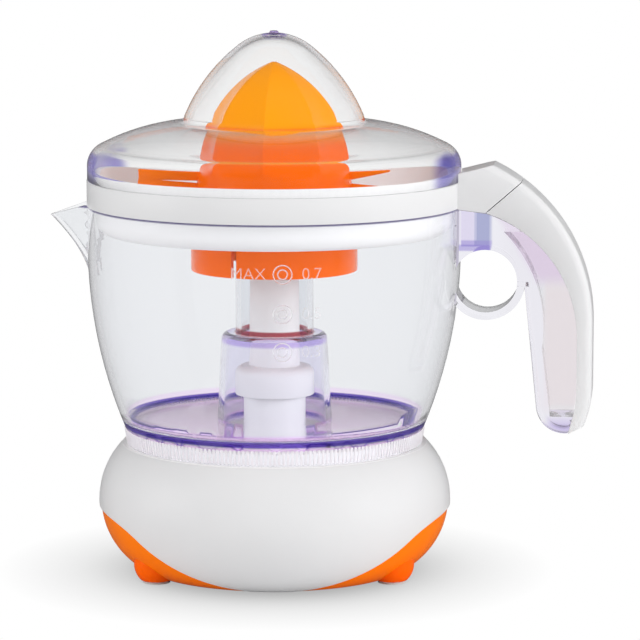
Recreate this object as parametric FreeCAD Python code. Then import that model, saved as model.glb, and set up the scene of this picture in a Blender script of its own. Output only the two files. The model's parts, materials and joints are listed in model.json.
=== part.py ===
import FreeCAD, Part
import os
from math import acos, asin, atan2, cos, hypot, pi, radians, sin, sqrt, tan

# Electric citrus press: a geared motor base, a clear jug with a handle and a spout, a slotted
# strainer, a ridged reaming cone and a domed lid.
# Millimetres. Z = 0 is the table and the Z axis is the spindle axis.
# +X points to the handle, -X to the spout and -Y to the graduated front.

# Base casing
BASE_BELLY_R = 66.0
BASE_BELLY_Z = 26.8
BASE_TOP_R = 57.0
BASE_TOP_Z = 48.5
BASE_UNDER_R = 50.0
BASE_UNDER_Z = 1.3
BASE_WALL = 2.4
BASE_TURN = 6.0
PARTING_ARC_R = 80.0
PARTING_LOW_Z = 1.0
PARTING_KNEE = 50.0
PARTING_END_Z = 25.2
PARTING_GAP = 0.3
COVER_RECESS = 0.8
COVER_WALL = 2.4
COVER_FLOOR = 2.2
COVER_LIFT = 2.5
PLATFORM_R = 47.5
PLATFORM_RISE = 4.0
TOWER_R = 11.6
TOWER_RISE = 16.0
VENT_COUNT = 6
VENT_LENGTH = 22.0
VENT_WIDTH = 2.4
VENT_PITCH = 5.5
VENT_Y = -26.0

# Feet
FEET_SET_IN = 15.1
FEET_ANGLE = radians(31.4)
FOOT_R = 8.4
FOOT_Z = 7.0
FOOT_STEM = 3.6
PAD_R = 5.0
PAD_THICK = 2.0
PAD_PROUD = 1.0
SOCKET_GAP = 0.05

# Screws
SCREW_R = 1.4
SCREW_HEAD_R = 2.8
SCREW_HEAD = 1.8
SCREW_BITE = 9.0
SCREW_SLACK = 0.15
PILOT_GAP = 0.05
POST_R = 3.6
BOSS_R = 4.2
SIDE_BOSS_X = 43.0
FRONT_BOSS_Y = -43.0

# Cord inlet
INLET_Z = 16.5
INLET_BORE_R = 3.1
INLET_SLEEVE_R = 5.0
INLET_FLANGE_R = 6.6
INLET_FLANGE = 1.6
INLET_PROUD = 1.6

# Motor
ROTOR_X = 18.0
ROTOR_Y = 30.0
ROTOR_R = 9.0
AIR_GAP = 0.7
STACK_LIFT = 7.5
STACK = 12.0
LIMB = 8.0
WINDOW = 10.0
YOKE_X = -34.0
SHOE_LENGTH = 24.0
SHOE_SPREAD = 2.5
COIL_START_X = -24.0
COIL_LENGTH = 28.0
COIL_BUILD = 4.0
BOBBIN_WALL = 0.8
BOBBIN_FLANGE = 1.0
COIL_GAP = 0.15
BRACKET = 2.5
ROTOR_SHAFT_R = 1.5
ROTOR_BUSH_R = 3.0
ROTOR_END_GAP = 0.6
RUNNING_GAP = 0.05

# Gear train
PRESSURE_ANGLE = radians(20)
ROTOR_TEETH = 12
IDLER_WHEEL_TEETH = 66
FAST_MODULE = 0.6
IDLER_PINION_TEETH = 12
OUTPUT_TEETH = 60
SLOW_MODULE = 0.9
WHEEL_ADDENDUM = 0.75
PINION_ADDENDUM = 1.0
DEDENDUM = 1.2
TOOTH_THINNING = 0.12
WHEEL_FACE = 3.6
PINION_OVERLAP = 0.5
LAYER_GAP = 0.8
IDLER_AXLE_R = 2.0
PLATE = 2.5
PLATE_LIFT = 5.0
PLATE_R = 52.0
PLATE_HALF_X = 38.0
PLATE_FRONT_Y = -16.0
PLATE_POSTS = ((32.0, -10.0), (-32.0, -10.0), (30.0, 30.0), (-31.0, 30.0))

# Spindle and switch
PRESS_TRAVEL = 2.5
HUB_R = 7.0
HUB_SHOULDER_R = 9.0
DRIVE_FLATS = 8.0
FLATS_GAP = 0.06
NECK_R = 6.2
NECK_LENGTH = 18.5
BUSH_WALL = 2.3
BUSH_LENGTH = 9.0
BUSH_FLANGE = 1.2
SEAL_THICK = 1.8
SEAL_GAP = 0.3
SKIRT_R = 14.8
SKIRT_WALL = 2.2
SKIRT_DROP = 8.5
SKIRT_ROUND = 3.0
SHAFT_R = 9.5
SHAFT_TOP_R = 9.0
SHAFT_RISE = 1.0
CONE_FLATS = 13.0
CONE_DRIVE = 38.0
SPRING_WIRE_R = 0.45
SPRING_TURNS = 4
SPRING_MEAN_R = 5.7
SPRING_SPACE = 7.5
SPRING_POINT_COUNT = 36
SWITCH_LENGTH = 22.0
SWITCH_WIDTH = 10.0
SWITCH_HEIGHT = 10.0
PLUNGER_R = 2.2
PLUNGER_SHOW = 6.2
PLUNGER_TAIL = 3.0
PLUNGER_GAP = 0.3
SWITCH_LEG = 2.5

# Jug
SEAT_GAP = 0.05
JUG_R = 69.5
JUG_WALL = 2.0
JUG_HEIGHT = 89.3
JUG_BEND_DROP = 15.35
JUG_BEND_R = 178.0
JUG_FOOT_RISE = 6.0
FOOT_RING_GAP = 1.0
FOOT_RING_TAPER = 0.8
JUG_FLOOR = 2.4
FLOOR_CORNER = 3.0
COLUMN_FOOT_R = 21.5
COLUMN_TOP_R = 19.8
COLUMN_RISE = 33.05
COLUMN_ROUND = 2.5
TUBE_R = 14.6
TUBE_DROP = 4.0
SPOUT_DEPTH = 29.85
SPOUT_REACH = 20.0
SPOUT_FLARE = 1.7
SPOUT_HALF_WIDTH = 16.5
SPOUT_TIP_R = 2.2
SPOUT_LIP_DROP = 4.65
SPOUT_LIP_RUN = 14.5
SPOUT_ROOT_DEPTH = 8.0
SPOUT_SECTIONS = (0.12, 0.4, 0.7, 1.0)
SPOUT_WAY_SECTIONS = (0.25, 0.5, 0.75, 1.06)

# Handle, its points given as the distance out from the jug's wall and the drop under the jug's rim
HANDLE_REACH = 49.4
HANDLE_BEND_DROP = 42.35
HANDLE_STRAIGHT_DROP = 66.35
HANDLE_HALF_DEPTH = 10.5
HANDLE_TAIL_AT = (46.4, 80.45)
HANDLE_INNER_LOW_AT = (28.8, 73.85)
HANDLE_INNER_HIGH_AT = (24.1, 28.35)
HANDLE_KNUCKLE_R = 10.6
HANDLE_ROUND = 3.0
GRIP_COVER = 5.6
GRIP_BEND_DROP = 47.35
GRIP_STRAIGHT_DROP = 65.35
GRIP_TAIL_AT = (40.7, 83.15)
GRIP_JOINT = 0.15
LUG_REACH = 12.5
LUG_RISE = 16.2
LUG_DIP = 3.7
SPLIT_LOW_AT = (10.1, 1.35)
SPLIT_HIGH_AT = (22.5, -9.45)
SPLIT_GAP = 0.3
CHANNEL_WALL = 2.5
CHANNEL_TOP_AT = (16.5, 8.35)
CHANNEL_MID_AT = (28.9, 28.35)
CHANNEL_LOW_AT = (30.8, 51.35)
CHANNEL_END_AT = (34.0, 77.0)
FINGER_AT = (9.8, 26.75)
FINGER_R = 11.8
FINGER_BAND = 2.8
FINGER_HALF_DEPTH = 8.0

# Strainer
BAND_PROUD = 0.2
BAND_RISE = 9.3
BOWL_GAP = 1.0
BOWL_WALL = 2.0
BOWL_DEPTH = 10.4
BOWL_CORNER = 6.0
LID_LIP = 3.3
LID_LIP_GAP = 0.5
COLLAR_WALL = 2.2
COLLAR_RISE = 6.0
CONE_GAP = 0.6
SLOT_COUNT = 30
SLOT_WIDTH = 2.2
SLOT_MARGIN = 4.0

# Cone
CONE_R = 28.2
CONE_SKIRT = 23.0
CONE_HEIGHT = 40.2
CONE_WALL = 2.0
CONE_RIDGES = 8
RIDGE_PHASE = radians(-92)
FLUTE_DEPTH = 2.7
FLUTE_EARLY = 0.6
FLUTE_LIMIT = 1 / 3
CONE_STEPS = 8
CONE_BLUNT = 0.3
DRUM_R = 31.0
DRUM_HEIGHT = 14.0
SLEEVE_WALL = 3.0
SLEEVE_LIFT = 1.0
WEB = 2.0
WEB_COUNT = 3
WEB_RISE = 11.0
CAVITY_CROWN = 15.0
NOTCH_WIDTH = 2.2
NOTCH_HEIGHT = 13.0
NOTCH_ANGLE = radians(-112)

# Lid, its shoulder given inwards from the rim and its crown from the axis, both up from the lid's lower
# edge, and its dome from the axis and down from the top
LID_WALL = 2.0
LID_SKIRT = 5.3
LID_SHOULDER_VIA_AT = (1.3, 9.85)
LID_SHOULDER_AT = (5.5, 13.25)
LID_CROWN_VIA_AT = (19.0, 18.55)
LID_CROWN_AT = (36.0, 21.25)
DOME_FOOT_VIA_AT = (34.2, 21.85)
DOME_FOOT_AT = (33.3, 23.65)
DOME_SIDE_VIA_AT = (26.0, 17.7)
DOME_SIDE_AT = (14.5, 5.5)
DOME_TOP_VIA_AT = (7.6, 1.4)
DOME_CLEAR = 10.9
NUB_R = 1.6
NUB_RISE = 0.7

# Heights and places that follow from the sizes above
FLOOR_LOW_Z = BASE_UNDER_Z + COVER_LIFT
FLOOR_TOP_Z = FLOOR_LOW_Z + COVER_FLOOR
FEET_CIRCLE_R = BASE_BELLY_R - FEET_SET_IN
DECK_UNDER_Z = BASE_TOP_Z - BASE_WALL
PLATFORM_Z = BASE_TOP_Z + PLATFORM_RISE
CEILING_Z = PLATFORM_Z - BASE_WALL
TOWER_Z = PLATFORM_Z + TOWER_RISE
STACK_LOW_Z = FLOOR_TOP_Z + STACK_LIFT
STACK_TOP_Z = STACK_LOW_Z + STACK
PLATE_LOW_Z = STACK_TOP_Z + PLATE_LIFT
PLATE_TOP_Z = PLATE_LOW_Z + PLATE
FAST_LAYER_Z = PLATE_TOP_Z + LAYER_GAP
SLOW_LAYER_Z = FAST_LAYER_Z + WHEEL_FACE + PINION_OVERLAP + LAYER_GAP
SLOW_TOP_Z = SLOW_LAYER_Z + WHEEL_FACE
HUB_TOP_Z = CEILING_Z - LAYER_GAP
NECK_LOW_Z = HUB_TOP_Z + SPRING_SPACE
SKIRT_CEILING_Z = NECK_LOW_Z + NECK_LENGTH
SKIRT_TOP_Z = SKIRT_CEILING_Z + SKIRT_WALL
SPINDLE_LOW_Z = PLATE_LOW_Z - 2 * LAYER_GAP
SWITCH_TOP_Z = SPINDLE_LOW_Z - PLUNGER_GAP - PLUNGER_SHOW
BUSH_R = NECK_R + RUNNING_GAP + BUSH_WALL
JUG_LOW_Z = BASE_TOP_Z + SEAT_GAP
JUG_UNDER_Z = JUG_LOW_Z + JUG_FOOT_RISE
JUG_FLOOR_Z = JUG_UNDER_Z + JUG_FLOOR
JUG_RIM_Z = JUG_LOW_Z + JUG_HEIGHT
JUG_BEND_Z = JUG_RIM_Z - JUG_BEND_DROP
COLUMN_SHOULDER_Z = JUG_FLOOR_Z + COLUMN_RISE
BAND_R = JUG_R + BAND_PROUD
BAND_LOW_Z = JUG_RIM_Z + SEAT_GAP
BAND_TOP_Z = BAND_LOW_Z + BAND_RISE
BOWL_R = JUG_R - JUG_WALL - BOWL_GAP
BOWL_LOW_Z = BAND_LOW_Z - BOWL_DEPTH
BOWL_FLOOR_Z = BOWL_LOW_Z + BOWL_WALL
TUBE_TOP_Z = BOWL_LOW_Z - TUBE_DROP
COLLAR_R = DRUM_R + CONE_GAP
DRUM_TOP_Z = BOWL_LOW_Z
DRUM_LOW_Z = DRUM_TOP_Z - DRUM_HEIGHT
CONE_SHOULDER_Z = DRUM_TOP_Z + CONE_SKIRT
CONE_TIP_Z = CONE_SHOULDER_Z + CONE_HEIGHT
CAVITY_TOP_Z = CONE_TIP_Z - CAVITY_CROWN
SHAFT_TOP_Z = BOWL_LOW_Z + SHAFT_RISE
SPINDLE_TOP_Z = SHAFT_TOP_Z + CONE_DRIVE
LID_R = JUG_R
LID_LOW_Z = BAND_TOP_Z + SEAT_GAP
DOME_TOP_Z = CONE_TIP_Z + DOME_CLEAR
HANDLE_OUT_X = JUG_R + HANDLE_REACH
HANDLE_BEND_Z = JUG_RIM_Z - HANDLE_BEND_DROP
HANDLE_STRAIGHT_Z = JUG_RIM_Z - HANDLE_STRAIGHT_DROP
GRIP_BEND_Z = JUG_RIM_Z - GRIP_BEND_DROP
GRIP_STRAIGHT_Z = JUG_RIM_Z - GRIP_STRAIGHT_DROP
LUG_TOP_X = JUG_R + LUG_REACH
LUG_TOP_Z = JUG_RIM_Z + LUG_RISE
STATOR_LIMBS = (ROTOR_Y - (WINDOW + LIMB) / 2, ROTOR_Y + (WINDOW + LIMB) / 2)
SHOE_END_X = ROTOR_X + SHOE_LENGTH / 2
MOTOR_SCREW_X = (YOKE_X + LIMB / 2, SHOE_END_X - LIMB / 2)
COVER_BOSSES = ((SIDE_BOSS_X, 0.0), (-SIDE_BOSS_X, 0.0), (0.0, FRONT_BOSS_Y))
FAST_CENTRES = FAST_MODULE * (ROTOR_TEETH + IDLER_WHEEL_TEETH) / 2
SLOW_CENTRES = SLOW_MODULE * (IDLER_PINION_TEETH + OUTPUT_TEETH) / 2
PAST = 1.0
NEAR = 1e-3

V = FreeCAD.Vector


def beside_jug(at):
    """XZ point at a distance out from the jug's wall and a drop under its rim."""
    return JUG_R + at[0], JUG_RIM_Z - at[1]


HANDLE_TAIL = beside_jug(HANDLE_TAIL_AT)
HANDLE_INNER_LOW = beside_jug(HANDLE_INNER_LOW_AT)
HANDLE_INNER_HIGH = beside_jug(HANDLE_INNER_HIGH_AT)
GRIP_TAIL = beside_jug(GRIP_TAIL_AT)
SPLIT_LOW = beside_jug(SPLIT_LOW_AT)
SPLIT_HIGH = beside_jug(SPLIT_HIGH_AT)
CHANNEL_TOP = beside_jug(CHANNEL_TOP_AT)
CHANNEL_MID = beside_jug(CHANNEL_MID_AT)
CHANNEL_LOW = beside_jug(CHANNEL_LOW_AT)
CHANNEL_END = beside_jug(CHANNEL_END_AT)
FINGER_X, FINGER_Z = beside_jug(FINGER_AT)


def face_xz(start, *steps):
    """Closed flat face in the XZ plane.

    A step of two numbers is a line to a point, a step of four an arc through a point to a point.
    """
    edges = []
    here = V(start[0], 0, start[1])
    for step in steps + (tuple(start),):
        there = V(step[-2], 0, step[-1])
        if len(step) == 4:
            edges.append(Part.Arc(here, V(step[0], 0, step[1]), there).toShape())
        elif here.distanceToPoint(there) > NEAR:
            edges.append(Part.LineSegment(here, there).toShape())
        here = there
    return Part.Face(Part.Wire(edges))


def turned(start, *steps):
    """Solid of revolution about the Z axis."""
    return face_xz(start, *steps).revolve(V(0, 0, 0), V(0, 0, 1), 360)


def prism(half_depth, start, *steps):
    """Solid that carries an XZ outline to both sides along Y."""
    face = face_xz(start, *steps)
    face.translate(V(0, -half_depth, 0))
    return face.extrude(V(0, 2 * half_depth, 0))


def rod(radius, low, high, x=0.0, y=0.0):
    """Upright cylinder between two heights."""
    return Part.makeCylinder(radius, high - low, V(x, y, low))


def tube(outer, inner, low, high, x=0.0, y=0.0):
    """Upright round tube between two heights."""
    return rod(outer, low, high, x, y).cut(rod(inner, low - PAST, high + PAST, x, y))


def block(x0, x1, y0, y1, z0, z1):
    """Box between two corners."""
    return Part.makeBox(x1 - x0, y1 - y0, z1 - z0, V(x0, y0, z0))


def polar(radius, angle, z=0.0):
    """Point at a radius and an angle from +X, at height z."""
    return V(radius * cos(angle), radius * sin(angle), z)


def hexagon(flats, low, high, angle=0.0):
    """Upright hexagonal bar, across its flats."""
    corners = [polar(flats / sqrt(3), angle + k * pi / 3, low) for k in range(7)]
    return Part.Face(Part.makePolygon(corners)).extrude(V(0, 0, high - low))


def swell(bulge, rise):
    """Radius of an arc that falls back by bulge over the height rise."""
    return (bulge ** 2 + rise ** 2) / (2 * bulge)


def bent_x(side, bend_z, radius, z, inset=0.0):
    """Distance from the axis, at height z, of an upright wall that curls inwards from bend_z."""
    return side - radius + sqrt((radius - inset) ** 2 - (z - bend_z) ** 2)


def corner_point(centre_x, centre_z, radius, angle):
    """Point of a small corner arc, its angle in degrees from +X."""
    return centre_x + radius * cos(radians(angle)), centre_z + radius * sin(radians(angle))


def screw(x, y, low, length):
    """Upright pan-head screw whose head lies just under the height low."""
    return rod(SCREW_HEAD_R, low - SCREW_HEAD, low, x, y).fuse(rod(SCREW_R, low, low + length, x, y))


def base_reach(z, inset=0.0):
    """Radius of the base's outside at height z, drawn in by inset."""
    if z > BASE_BELLY_Z:
        radius = swell(BASE_BELLY_R - BASE_TOP_R, BASE_TOP_Z - BASE_BELLY_Z)
    else:
        radius = swell(BASE_BELLY_R - BASE_UNDER_R, BASE_BELLY_Z - BASE_UNDER_Z)
    return bent_x(BASE_BELLY_R, BASE_BELLY_Z, radius, z) - inset


def base_body(inset, low, high):
    """Round-bellied solid between two heights, drawn in by inset."""
    def at(z):
        return base_reach(z, inset), z

    belly = (BASE_BELLY_R - inset, BASE_BELLY_Z)
    return turned((0, low), at(low), at((low + BASE_BELLY_Z) / 2) + belly,
                  at((high + BASE_BELLY_Z) / 2) + at(high), (0, high))


def below_parting(drop):
    """Everything under the curved parting between shell and cover, lowered by drop.

    The parting is an arc across the front that turns over at the knee and flattens to the sides.
    """
    edge = BASE_BELLY_R + PAST
    low = PARTING_LOW_Z - drop
    knee = low + PARTING_ARC_R - sqrt(PARTING_ARC_R ** 2 - PARTING_KNEE ** 2)
    side = PARTING_END_Z - drop
    run = edge - PARTING_KNEE
    slope = atan2(side - knee, run)
    sagitta = hypot(run, side - knee) / 2 * tan((asin(PARTING_KNEE / PARTING_ARC_R) - slope) / 2)
    via_x = PARTING_KNEE + run / 2 - sagitta * sin(slope)
    via_z = (knee + side) / 2 + sagitta * cos(slope)
    deep = low - edge
    under = prism(edge, (-edge, deep), (-edge, side), (-via_x, via_z, -PARTING_KNEE, knee),
                  (0, low, PARTING_KNEE, knee), (via_x, via_z, edge, side), (edge, deep))
    under.rotate(V(0, 0, 0), V(0, 0, 1), BASE_TURN)
    return under


def base_shell():
    """White upper casing with its platform, tower, cover bosses and gear plate posts."""
    hollow = base_body(BASE_WALL, BASE_UNDER_Z, DECK_UNDER_Z)
    hollow = hollow.fuse(rod(base_reach(BASE_UNDER_Z, BASE_WALL), BASE_UNDER_Z - PAST, BASE_UNDER_Z))
    hollow = hollow.fuse(rod(PLATFORM_R - BASE_WALL, DECK_UNDER_Z - PAST, CEILING_Z))
    shell = base_body(0, BASE_UNDER_Z, BASE_TOP_Z).fuse(rod(PLATFORM_R, DECK_UNDER_Z, PLATFORM_Z))
    shell = shell.fuse(rod(TOWER_R, CEILING_Z, TOWER_Z))
    shell = shell.cut(hollow).cut(below_parting(0))
    for x, y in PLATE_POSTS:
        shell = shell.fuse(rod(POST_R, PLATE_TOP_Z, CEILING_Z + BASE_WALL / 2, x, y))
        shell = shell.cut(rod(SCREW_R + PILOT_GAP, PLATE_TOP_Z - PAST, PLATE_TOP_Z + SCREW_BITE, x, y))
    for x, y in COVER_BOSSES:
        shell = shell.fuse(rod(BOSS_R, FLOOR_TOP_Z, DECK_UNDER_Z + BASE_WALL / 2, x, y))
        shell = shell.cut(rod(SCREW_R + PILOT_GAP, FLOOR_TOP_Z - PAST, FLOOR_TOP_Z + SCREW_BITE, x, y))
    shell = shell.cut(rod(BUSH_R + SOCKET_GAP, CEILING_Z - PAST, TOWER_Z + PAST))
    inside, outside = inlet_span()
    boss = across_inlet(INLET_FLANGE_R, inside, outside)
    boss = boss.common(base_body(BASE_WALL / 2, BASE_UNDER_Z, BASE_TOP_Z))
    return shell.fuse(boss).cut(across_inlet(INLET_SLEEVE_R + SOCKET_GAP, inside - PAST, outside + PAST))


def inlet_span():
    """Places along Y where the inlet's boss starts inside the wall and where the gland ends outside."""
    return base_reach(INLET_Z - INLET_FLANGE_R, BASE_WALL), base_reach(INLET_Z) + INLET_PROUD


def across_inlet(radius, start, end):
    """Round bar along Y through the cord inlet."""
    return Part.makeCylinder(radius, end - start, V(0, start, INLET_Z), V(0, 1, 0))


def cord_gland():
    """Bush in the back wall that a mains lead goes through, its flange behind the boss."""
    inside, outside = inlet_span()
    start = inside - INLET_FLANGE
    gland = across_inlet(INLET_SLEEVE_R, start, outside).fuse(across_inlet(INLET_FLANGE_R, start, inside))
    return gland.cut(across_inlet(INLET_BORE_R, start - PAST, outside + PAST))


def foot_places():
    """Names and centres of the four feet, on a circle inside the belly."""
    angles = {"front_left": pi + FEET_ANGLE, "front_right": -FEET_ANGLE,
              "rear_left": pi - FEET_ANGLE, "rear_right": FEET_ANGLE}
    places = {}
    for name, angle in angles.items():
        centre = polar(FEET_CIRCLE_R, angle + radians(BASE_TURN))
        places[f"foot_{name}"] = (centre.x, centre.y)
    return places


def foot_ball(x, y, gap=0.0):
    """Round part of a foot, cut off above the cover's floor."""
    ball = Part.makeSphere(FOOT_R + gap, V(x, y, FOOT_Z))
    top = FLOOR_TOP_Z + FOOT_STEM
    return ball.cut(rod(2 * FOOT_R, top, top + 2 * FOOT_R, x, y))


def foot(x, y):
    """Orange ball foot with a pocket for its pad."""
    ball = foot_ball(x, y).cut(rod(FOOT_R, -FOOT_R, PAD_PROUD, x, y))
    return ball.cut(rod(PAD_R + SOCKET_GAP, 0, PAD_THICK, x, y))


def foot_pads():
    """Four pale rubber discs that the press stands on."""
    return Part.makeCompound([rod(PAD_R, 0, PAD_THICK, x, y) for x, y in foot_places().values()])


def bottom_cover():
    """Orange cradle under the shell, with foot sockets, screw holes and vents."""
    inside = base_body(COVER_RECESS + COVER_WALL, FLOOR_TOP_Z, BASE_TOP_Z)
    wall = base_body(COVER_RECESS, BASE_UNDER_Z, BASE_TOP_Z).cut(inside).common(below_parting(PARTING_GAP))
    floor = base_body(BASE_WALL + PARTING_GAP, BASE_UNDER_Z, BASE_TOP_Z)
    floor = floor.common(rod(BASE_BELLY_R, FLOOR_LOW_Z, FLOOR_TOP_Z))
    rim_in = base_reach(BASE_UNDER_Z, COVER_RECESS + COVER_WALL)
    cover = wall.fuse(floor).cut(rod(rim_in, BASE_UNDER_Z - PAST, FLOOR_LOW_Z))
    for x, y in foot_places().values():
        cover = cover.cut(foot_ball(x, y, SOCKET_GAP))
    for x, y in COVER_BOSSES:
        cover = cover.cut(rod(SCREW_R + SCREW_SLACK, BASE_UNDER_Z - PAST, FLOOR_TOP_Z + PAST, x, y))
    for k in range(VENT_COUNT):
        x = (k - (VENT_COUNT - 1) / 2) * VENT_PITCH
        cover = cover.cut(block(x - VENT_WIDTH / 2, x + VENT_WIDTH / 2, VENT_Y - VENT_LENGTH / 2,
                                VENT_Y + VENT_LENGTH / 2, BASE_UNDER_Z - PAST, FLOOR_TOP_Z + PAST))
    return cover


def cover_screws():
    """Screws that hold the cover to the shell's bosses."""
    length = COVER_FLOOR + SCREW_BITE - SCREW_R
    return Part.makeCompound([screw(x, y, FLOOR_LOW_Z, length) for x, y in COVER_BOSSES])


def plate_screws():
    """Screws that hold the gear plate to the shell's posts."""
    length = PLATE + SCREW_BITE - SCREW_R
    return Part.makeCompound([screw(x, y, PLATE_LOW_Z, length) for x, y in PLATE_POSTS])


def motor_screw_places():
    """Centres of the four screws through the stator: two at the yoke, two at the pole shoes."""
    return [(x, y) for x in MOTOR_SCREW_X for y in STATOR_LIMBS]


def motor_screws():
    """Screws that hang the stator and its bracket from the gear plate."""
    screws = []
    for x, y in motor_screw_places():
        low = STACK_LOW_Z if x < ROTOR_X else STACK_LOW_Z - BRACKET
        screws.append(screw(x, y, low, PLATE_LOW_Z - low))
    return Part.makeCompound(screws)


def stator_core():
    """U-shaped stack of laminations with pole shoes round the rotor."""
    near, far = STATOR_LIMBS
    shoe_x = ROTOR_X - SHOE_LENGTH / 2
    core = block(YOKE_X, YOKE_X + LIMB, near - LIMB / 2, far + LIMB / 2, STACK_LOW_Z, STACK_TOP_Z)
    for limb, spread in ((near, -SHOE_SPREAD), (far, SHOE_SPREAD)):
        low, high = limb - LIMB / 2, limb + LIMB / 2
        core = core.fuse(block(YOKE_X, SHOE_END_X, low, high, STACK_LOW_Z, STACK_TOP_Z))
        y0, y1 = min(low, low + spread), max(high, high + spread)
        core = core.fuse(block(shoe_x, SHOE_END_X, y0, y1, STACK_LOW_Z, STACK_TOP_Z))
    core = core.cut(rod(ROTOR_R + AIR_GAP, STACK_LOW_Z - PAST, STACK_TOP_Z + PAST, ROTOR_X, ROTOR_Y))
    for x, y in motor_screw_places():
        core = core.cut(rod(SCREW_R + SCREW_SLACK, STACK_LOW_Z - PAST, STACK_TOP_Z + PAST, x, y))
    return core


def around_limb(limb, x0, x1, inner, outer):
    """Square sleeve round one limb of the stator, between two offsets from its faces."""
    def bar(offset, past):
        return block(x0 - past, x1 + past, limb - LIMB / 2 - offset, limb + LIMB / 2 + offset,
                     STACK_LOW_Z - offset, STACK_TOP_Z + offset)

    return bar(outer, 0).cut(bar(inner, PAST))


def bobbin(limb):
    """Moulded former that a winding sits on."""
    end = COIL_START_X + COIL_LENGTH
    former = around_limb(limb, COIL_START_X, end, COIL_GAP, BOBBIN_WALL)
    for x in (COIL_START_X, end - BOBBIN_FLANGE):
        former = former.fuse(around_limb(limb, x, x + BOBBIN_FLANGE, COIL_GAP, COIL_BUILD))
    return former


def winding(limb):
    """Copper winding between the flanges of a bobbin."""
    start = COIL_START_X + BOBBIN_FLANGE
    end = COIL_START_X + COIL_LENGTH - BOBBIN_FLANGE
    return around_limb(limb, start, end, BOBBIN_WALL, COIL_BUILD - BOBBIN_WALL)


def motor_bracket():
    """Plate under the pole shoes that carries the rotor's lower bush."""
    x0 = ROTOR_X - SHOE_LENGTH / 2
    low = STACK_LOW_Z - BRACKET
    y0 = STATOR_LIMBS[0] - LIMB / 2
    y1 = STATOR_LIMBS[1] + LIMB / 2
    plate = block(x0, SHOE_END_X, y0, y1, low, STACK_LOW_Z)
    plate = plate.cut(rod(ROTOR_BUSH_R + SOCKET_GAP, low - PAST, STACK_LOW_Z + PAST, ROTOR_X, ROTOR_Y))
    for x, y in motor_screw_places():
        plate = plate.cut(rod(SCREW_R + SCREW_SLACK, low - PAST, STACK_LOW_Z + PAST, x, y))
    return plate


def rotor_bush(low, high):
    """Sintered bush that a rotor journal turns in."""
    return tube(ROTOR_BUSH_R, ROTOR_SHAFT_R + RUNNING_GAP, low, high, ROTOR_X, ROTOR_Y)


def rotor_magnet():
    """Cylindrical two-pole magnet."""
    return tube(ROTOR_R, ROTOR_SHAFT_R, STACK_LOW_Z + ROTOR_END_GAP, STACK_TOP_Z - ROTOR_END_GAP,
                ROTOR_X, ROTOR_Y)


def rotor_shaft():
    """Steel shaft through the magnet, from the lower bush to the pinion's top."""
    return rod(ROTOR_SHAFT_R, STACK_LOW_Z - BRACKET, FAST_LAYER_Z + WHEEL_FACE, ROTOR_X, ROTOR_Y)


def idler_place():
    """Centre of the idler axle, in mesh with the rotor pinion and with the output gear."""
    span = hypot(ROTOR_X, ROTOR_Y)
    along = (SLOW_CENTRES ** 2 - FAST_CENTRES ** 2 + span ** 2) / (2 * span)
    aside = sqrt(SLOW_CENTRES ** 2 - along ** 2)
    return ((along * ROTOR_X - aside * ROTOR_Y) / span, (along * ROTOR_Y + aside * ROTOR_X) / span)


def gear_disc(teeth, module, addendum, phase, face):
    """Involute spur gear about the Z axis with a tooth centred on the angle phase."""
    pitch = teeth * module / 2
    base = pitch * cos(PRESSURE_ANGLE)
    tip = pitch + addendum * module
    root = pitch - DEDENDUM * module
    start = max(base, root)
    half = pi / (2 * teeth) - TOOTH_THINNING / (2 * pitch) + tan(PRESSURE_ANGLE) - PRESSURE_ANGLE

    def spread(radius):
        roll = acos(base / radius)
        return half - tan(roll) + roll

    edges = []
    here = None
    for k in range(teeth):
        middle = phase + 2 * pi * k / teeth
        radii = (start, (start + tip) / 2, tip)
        rising = [polar(r, middle - spread(r)) for r in radii]
        falling = [polar(r, middle + spread(r)) for r in reversed(radii)]
        foot_in = polar(root, middle - spread(start))
        foot_out = polar(root, middle + spread(start))
        if here is None:
            first = foot_in
        else:
            edges.append(Part.LineSegment(here, foot_in).toShape())
        if start > root:
            edges.append(Part.LineSegment(foot_in, rising[0]).toShape())
        edges.append(Part.Arc(*rising).toShape())
        edges.append(Part.LineSegment(rising[-1], falling[0]).toShape())
        edges.append(Part.Arc(*falling).toShape())
        if start > root:
            edges.append(Part.LineSegment(falling[-1], foot_out).toShape())
        here = foot_out
    edges.append(Part.LineSegment(here, first).toShape())
    return Part.Face(Part.Wire(edges)).extrude(V(0, 0, face))


def placed(shape, x, y, z):
    """Copy of a shape moved to a point."""
    moved = shape.copy()
    moved.translate(V(x, y, z))
    return moved


def rotor_pinion():
    """Small steel pinion on the rotor shaft, a gap between teeth facing the idler."""
    idler_x, idler_y = idler_place()
    to_idler = atan2(idler_y - ROTOR_Y, idler_x - ROTOR_X)
    disc = gear_disc(ROTOR_TEETH, FAST_MODULE, PINION_ADDENDUM, to_idler + pi / ROTOR_TEETH, WHEEL_FACE)
    disc = disc.cut(rod(ROTOR_SHAFT_R, -PAST, WHEEL_FACE + PAST))
    return placed(disc, ROTOR_X, ROTOR_Y, FAST_LAYER_Z)


def idler_gear():
    """Large wheel driven by the rotor and small pinion that drives the output gear, in one piece."""
    x, y = idler_place()
    to_rotor = atan2(ROTOR_Y - y, ROTOR_X - x)
    to_output = atan2(-y, -x)
    pinion_low = FAST_LAYER_Z + WHEEL_FACE
    pinion_face = SLOW_TOP_Z + PINION_OVERLAP - pinion_low
    wheel = gear_disc(IDLER_WHEEL_TEETH, FAST_MODULE, WHEEL_ADDENDUM, to_rotor, WHEEL_FACE)
    pinion = gear_disc(IDLER_PINION_TEETH, SLOW_MODULE, PINION_ADDENDUM,
                       to_output + pi / IDLER_PINION_TEETH, pinion_face)
    gear = placed(wheel, x, y, FAST_LAYER_Z).fuse(placed(pinion, x, y, pinion_low))
    return gear.cut(rod(IDLER_AXLE_R + RUNNING_GAP, FAST_LAYER_Z - PAST, SLOW_TOP_Z + 2 * PAST, x, y))


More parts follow.
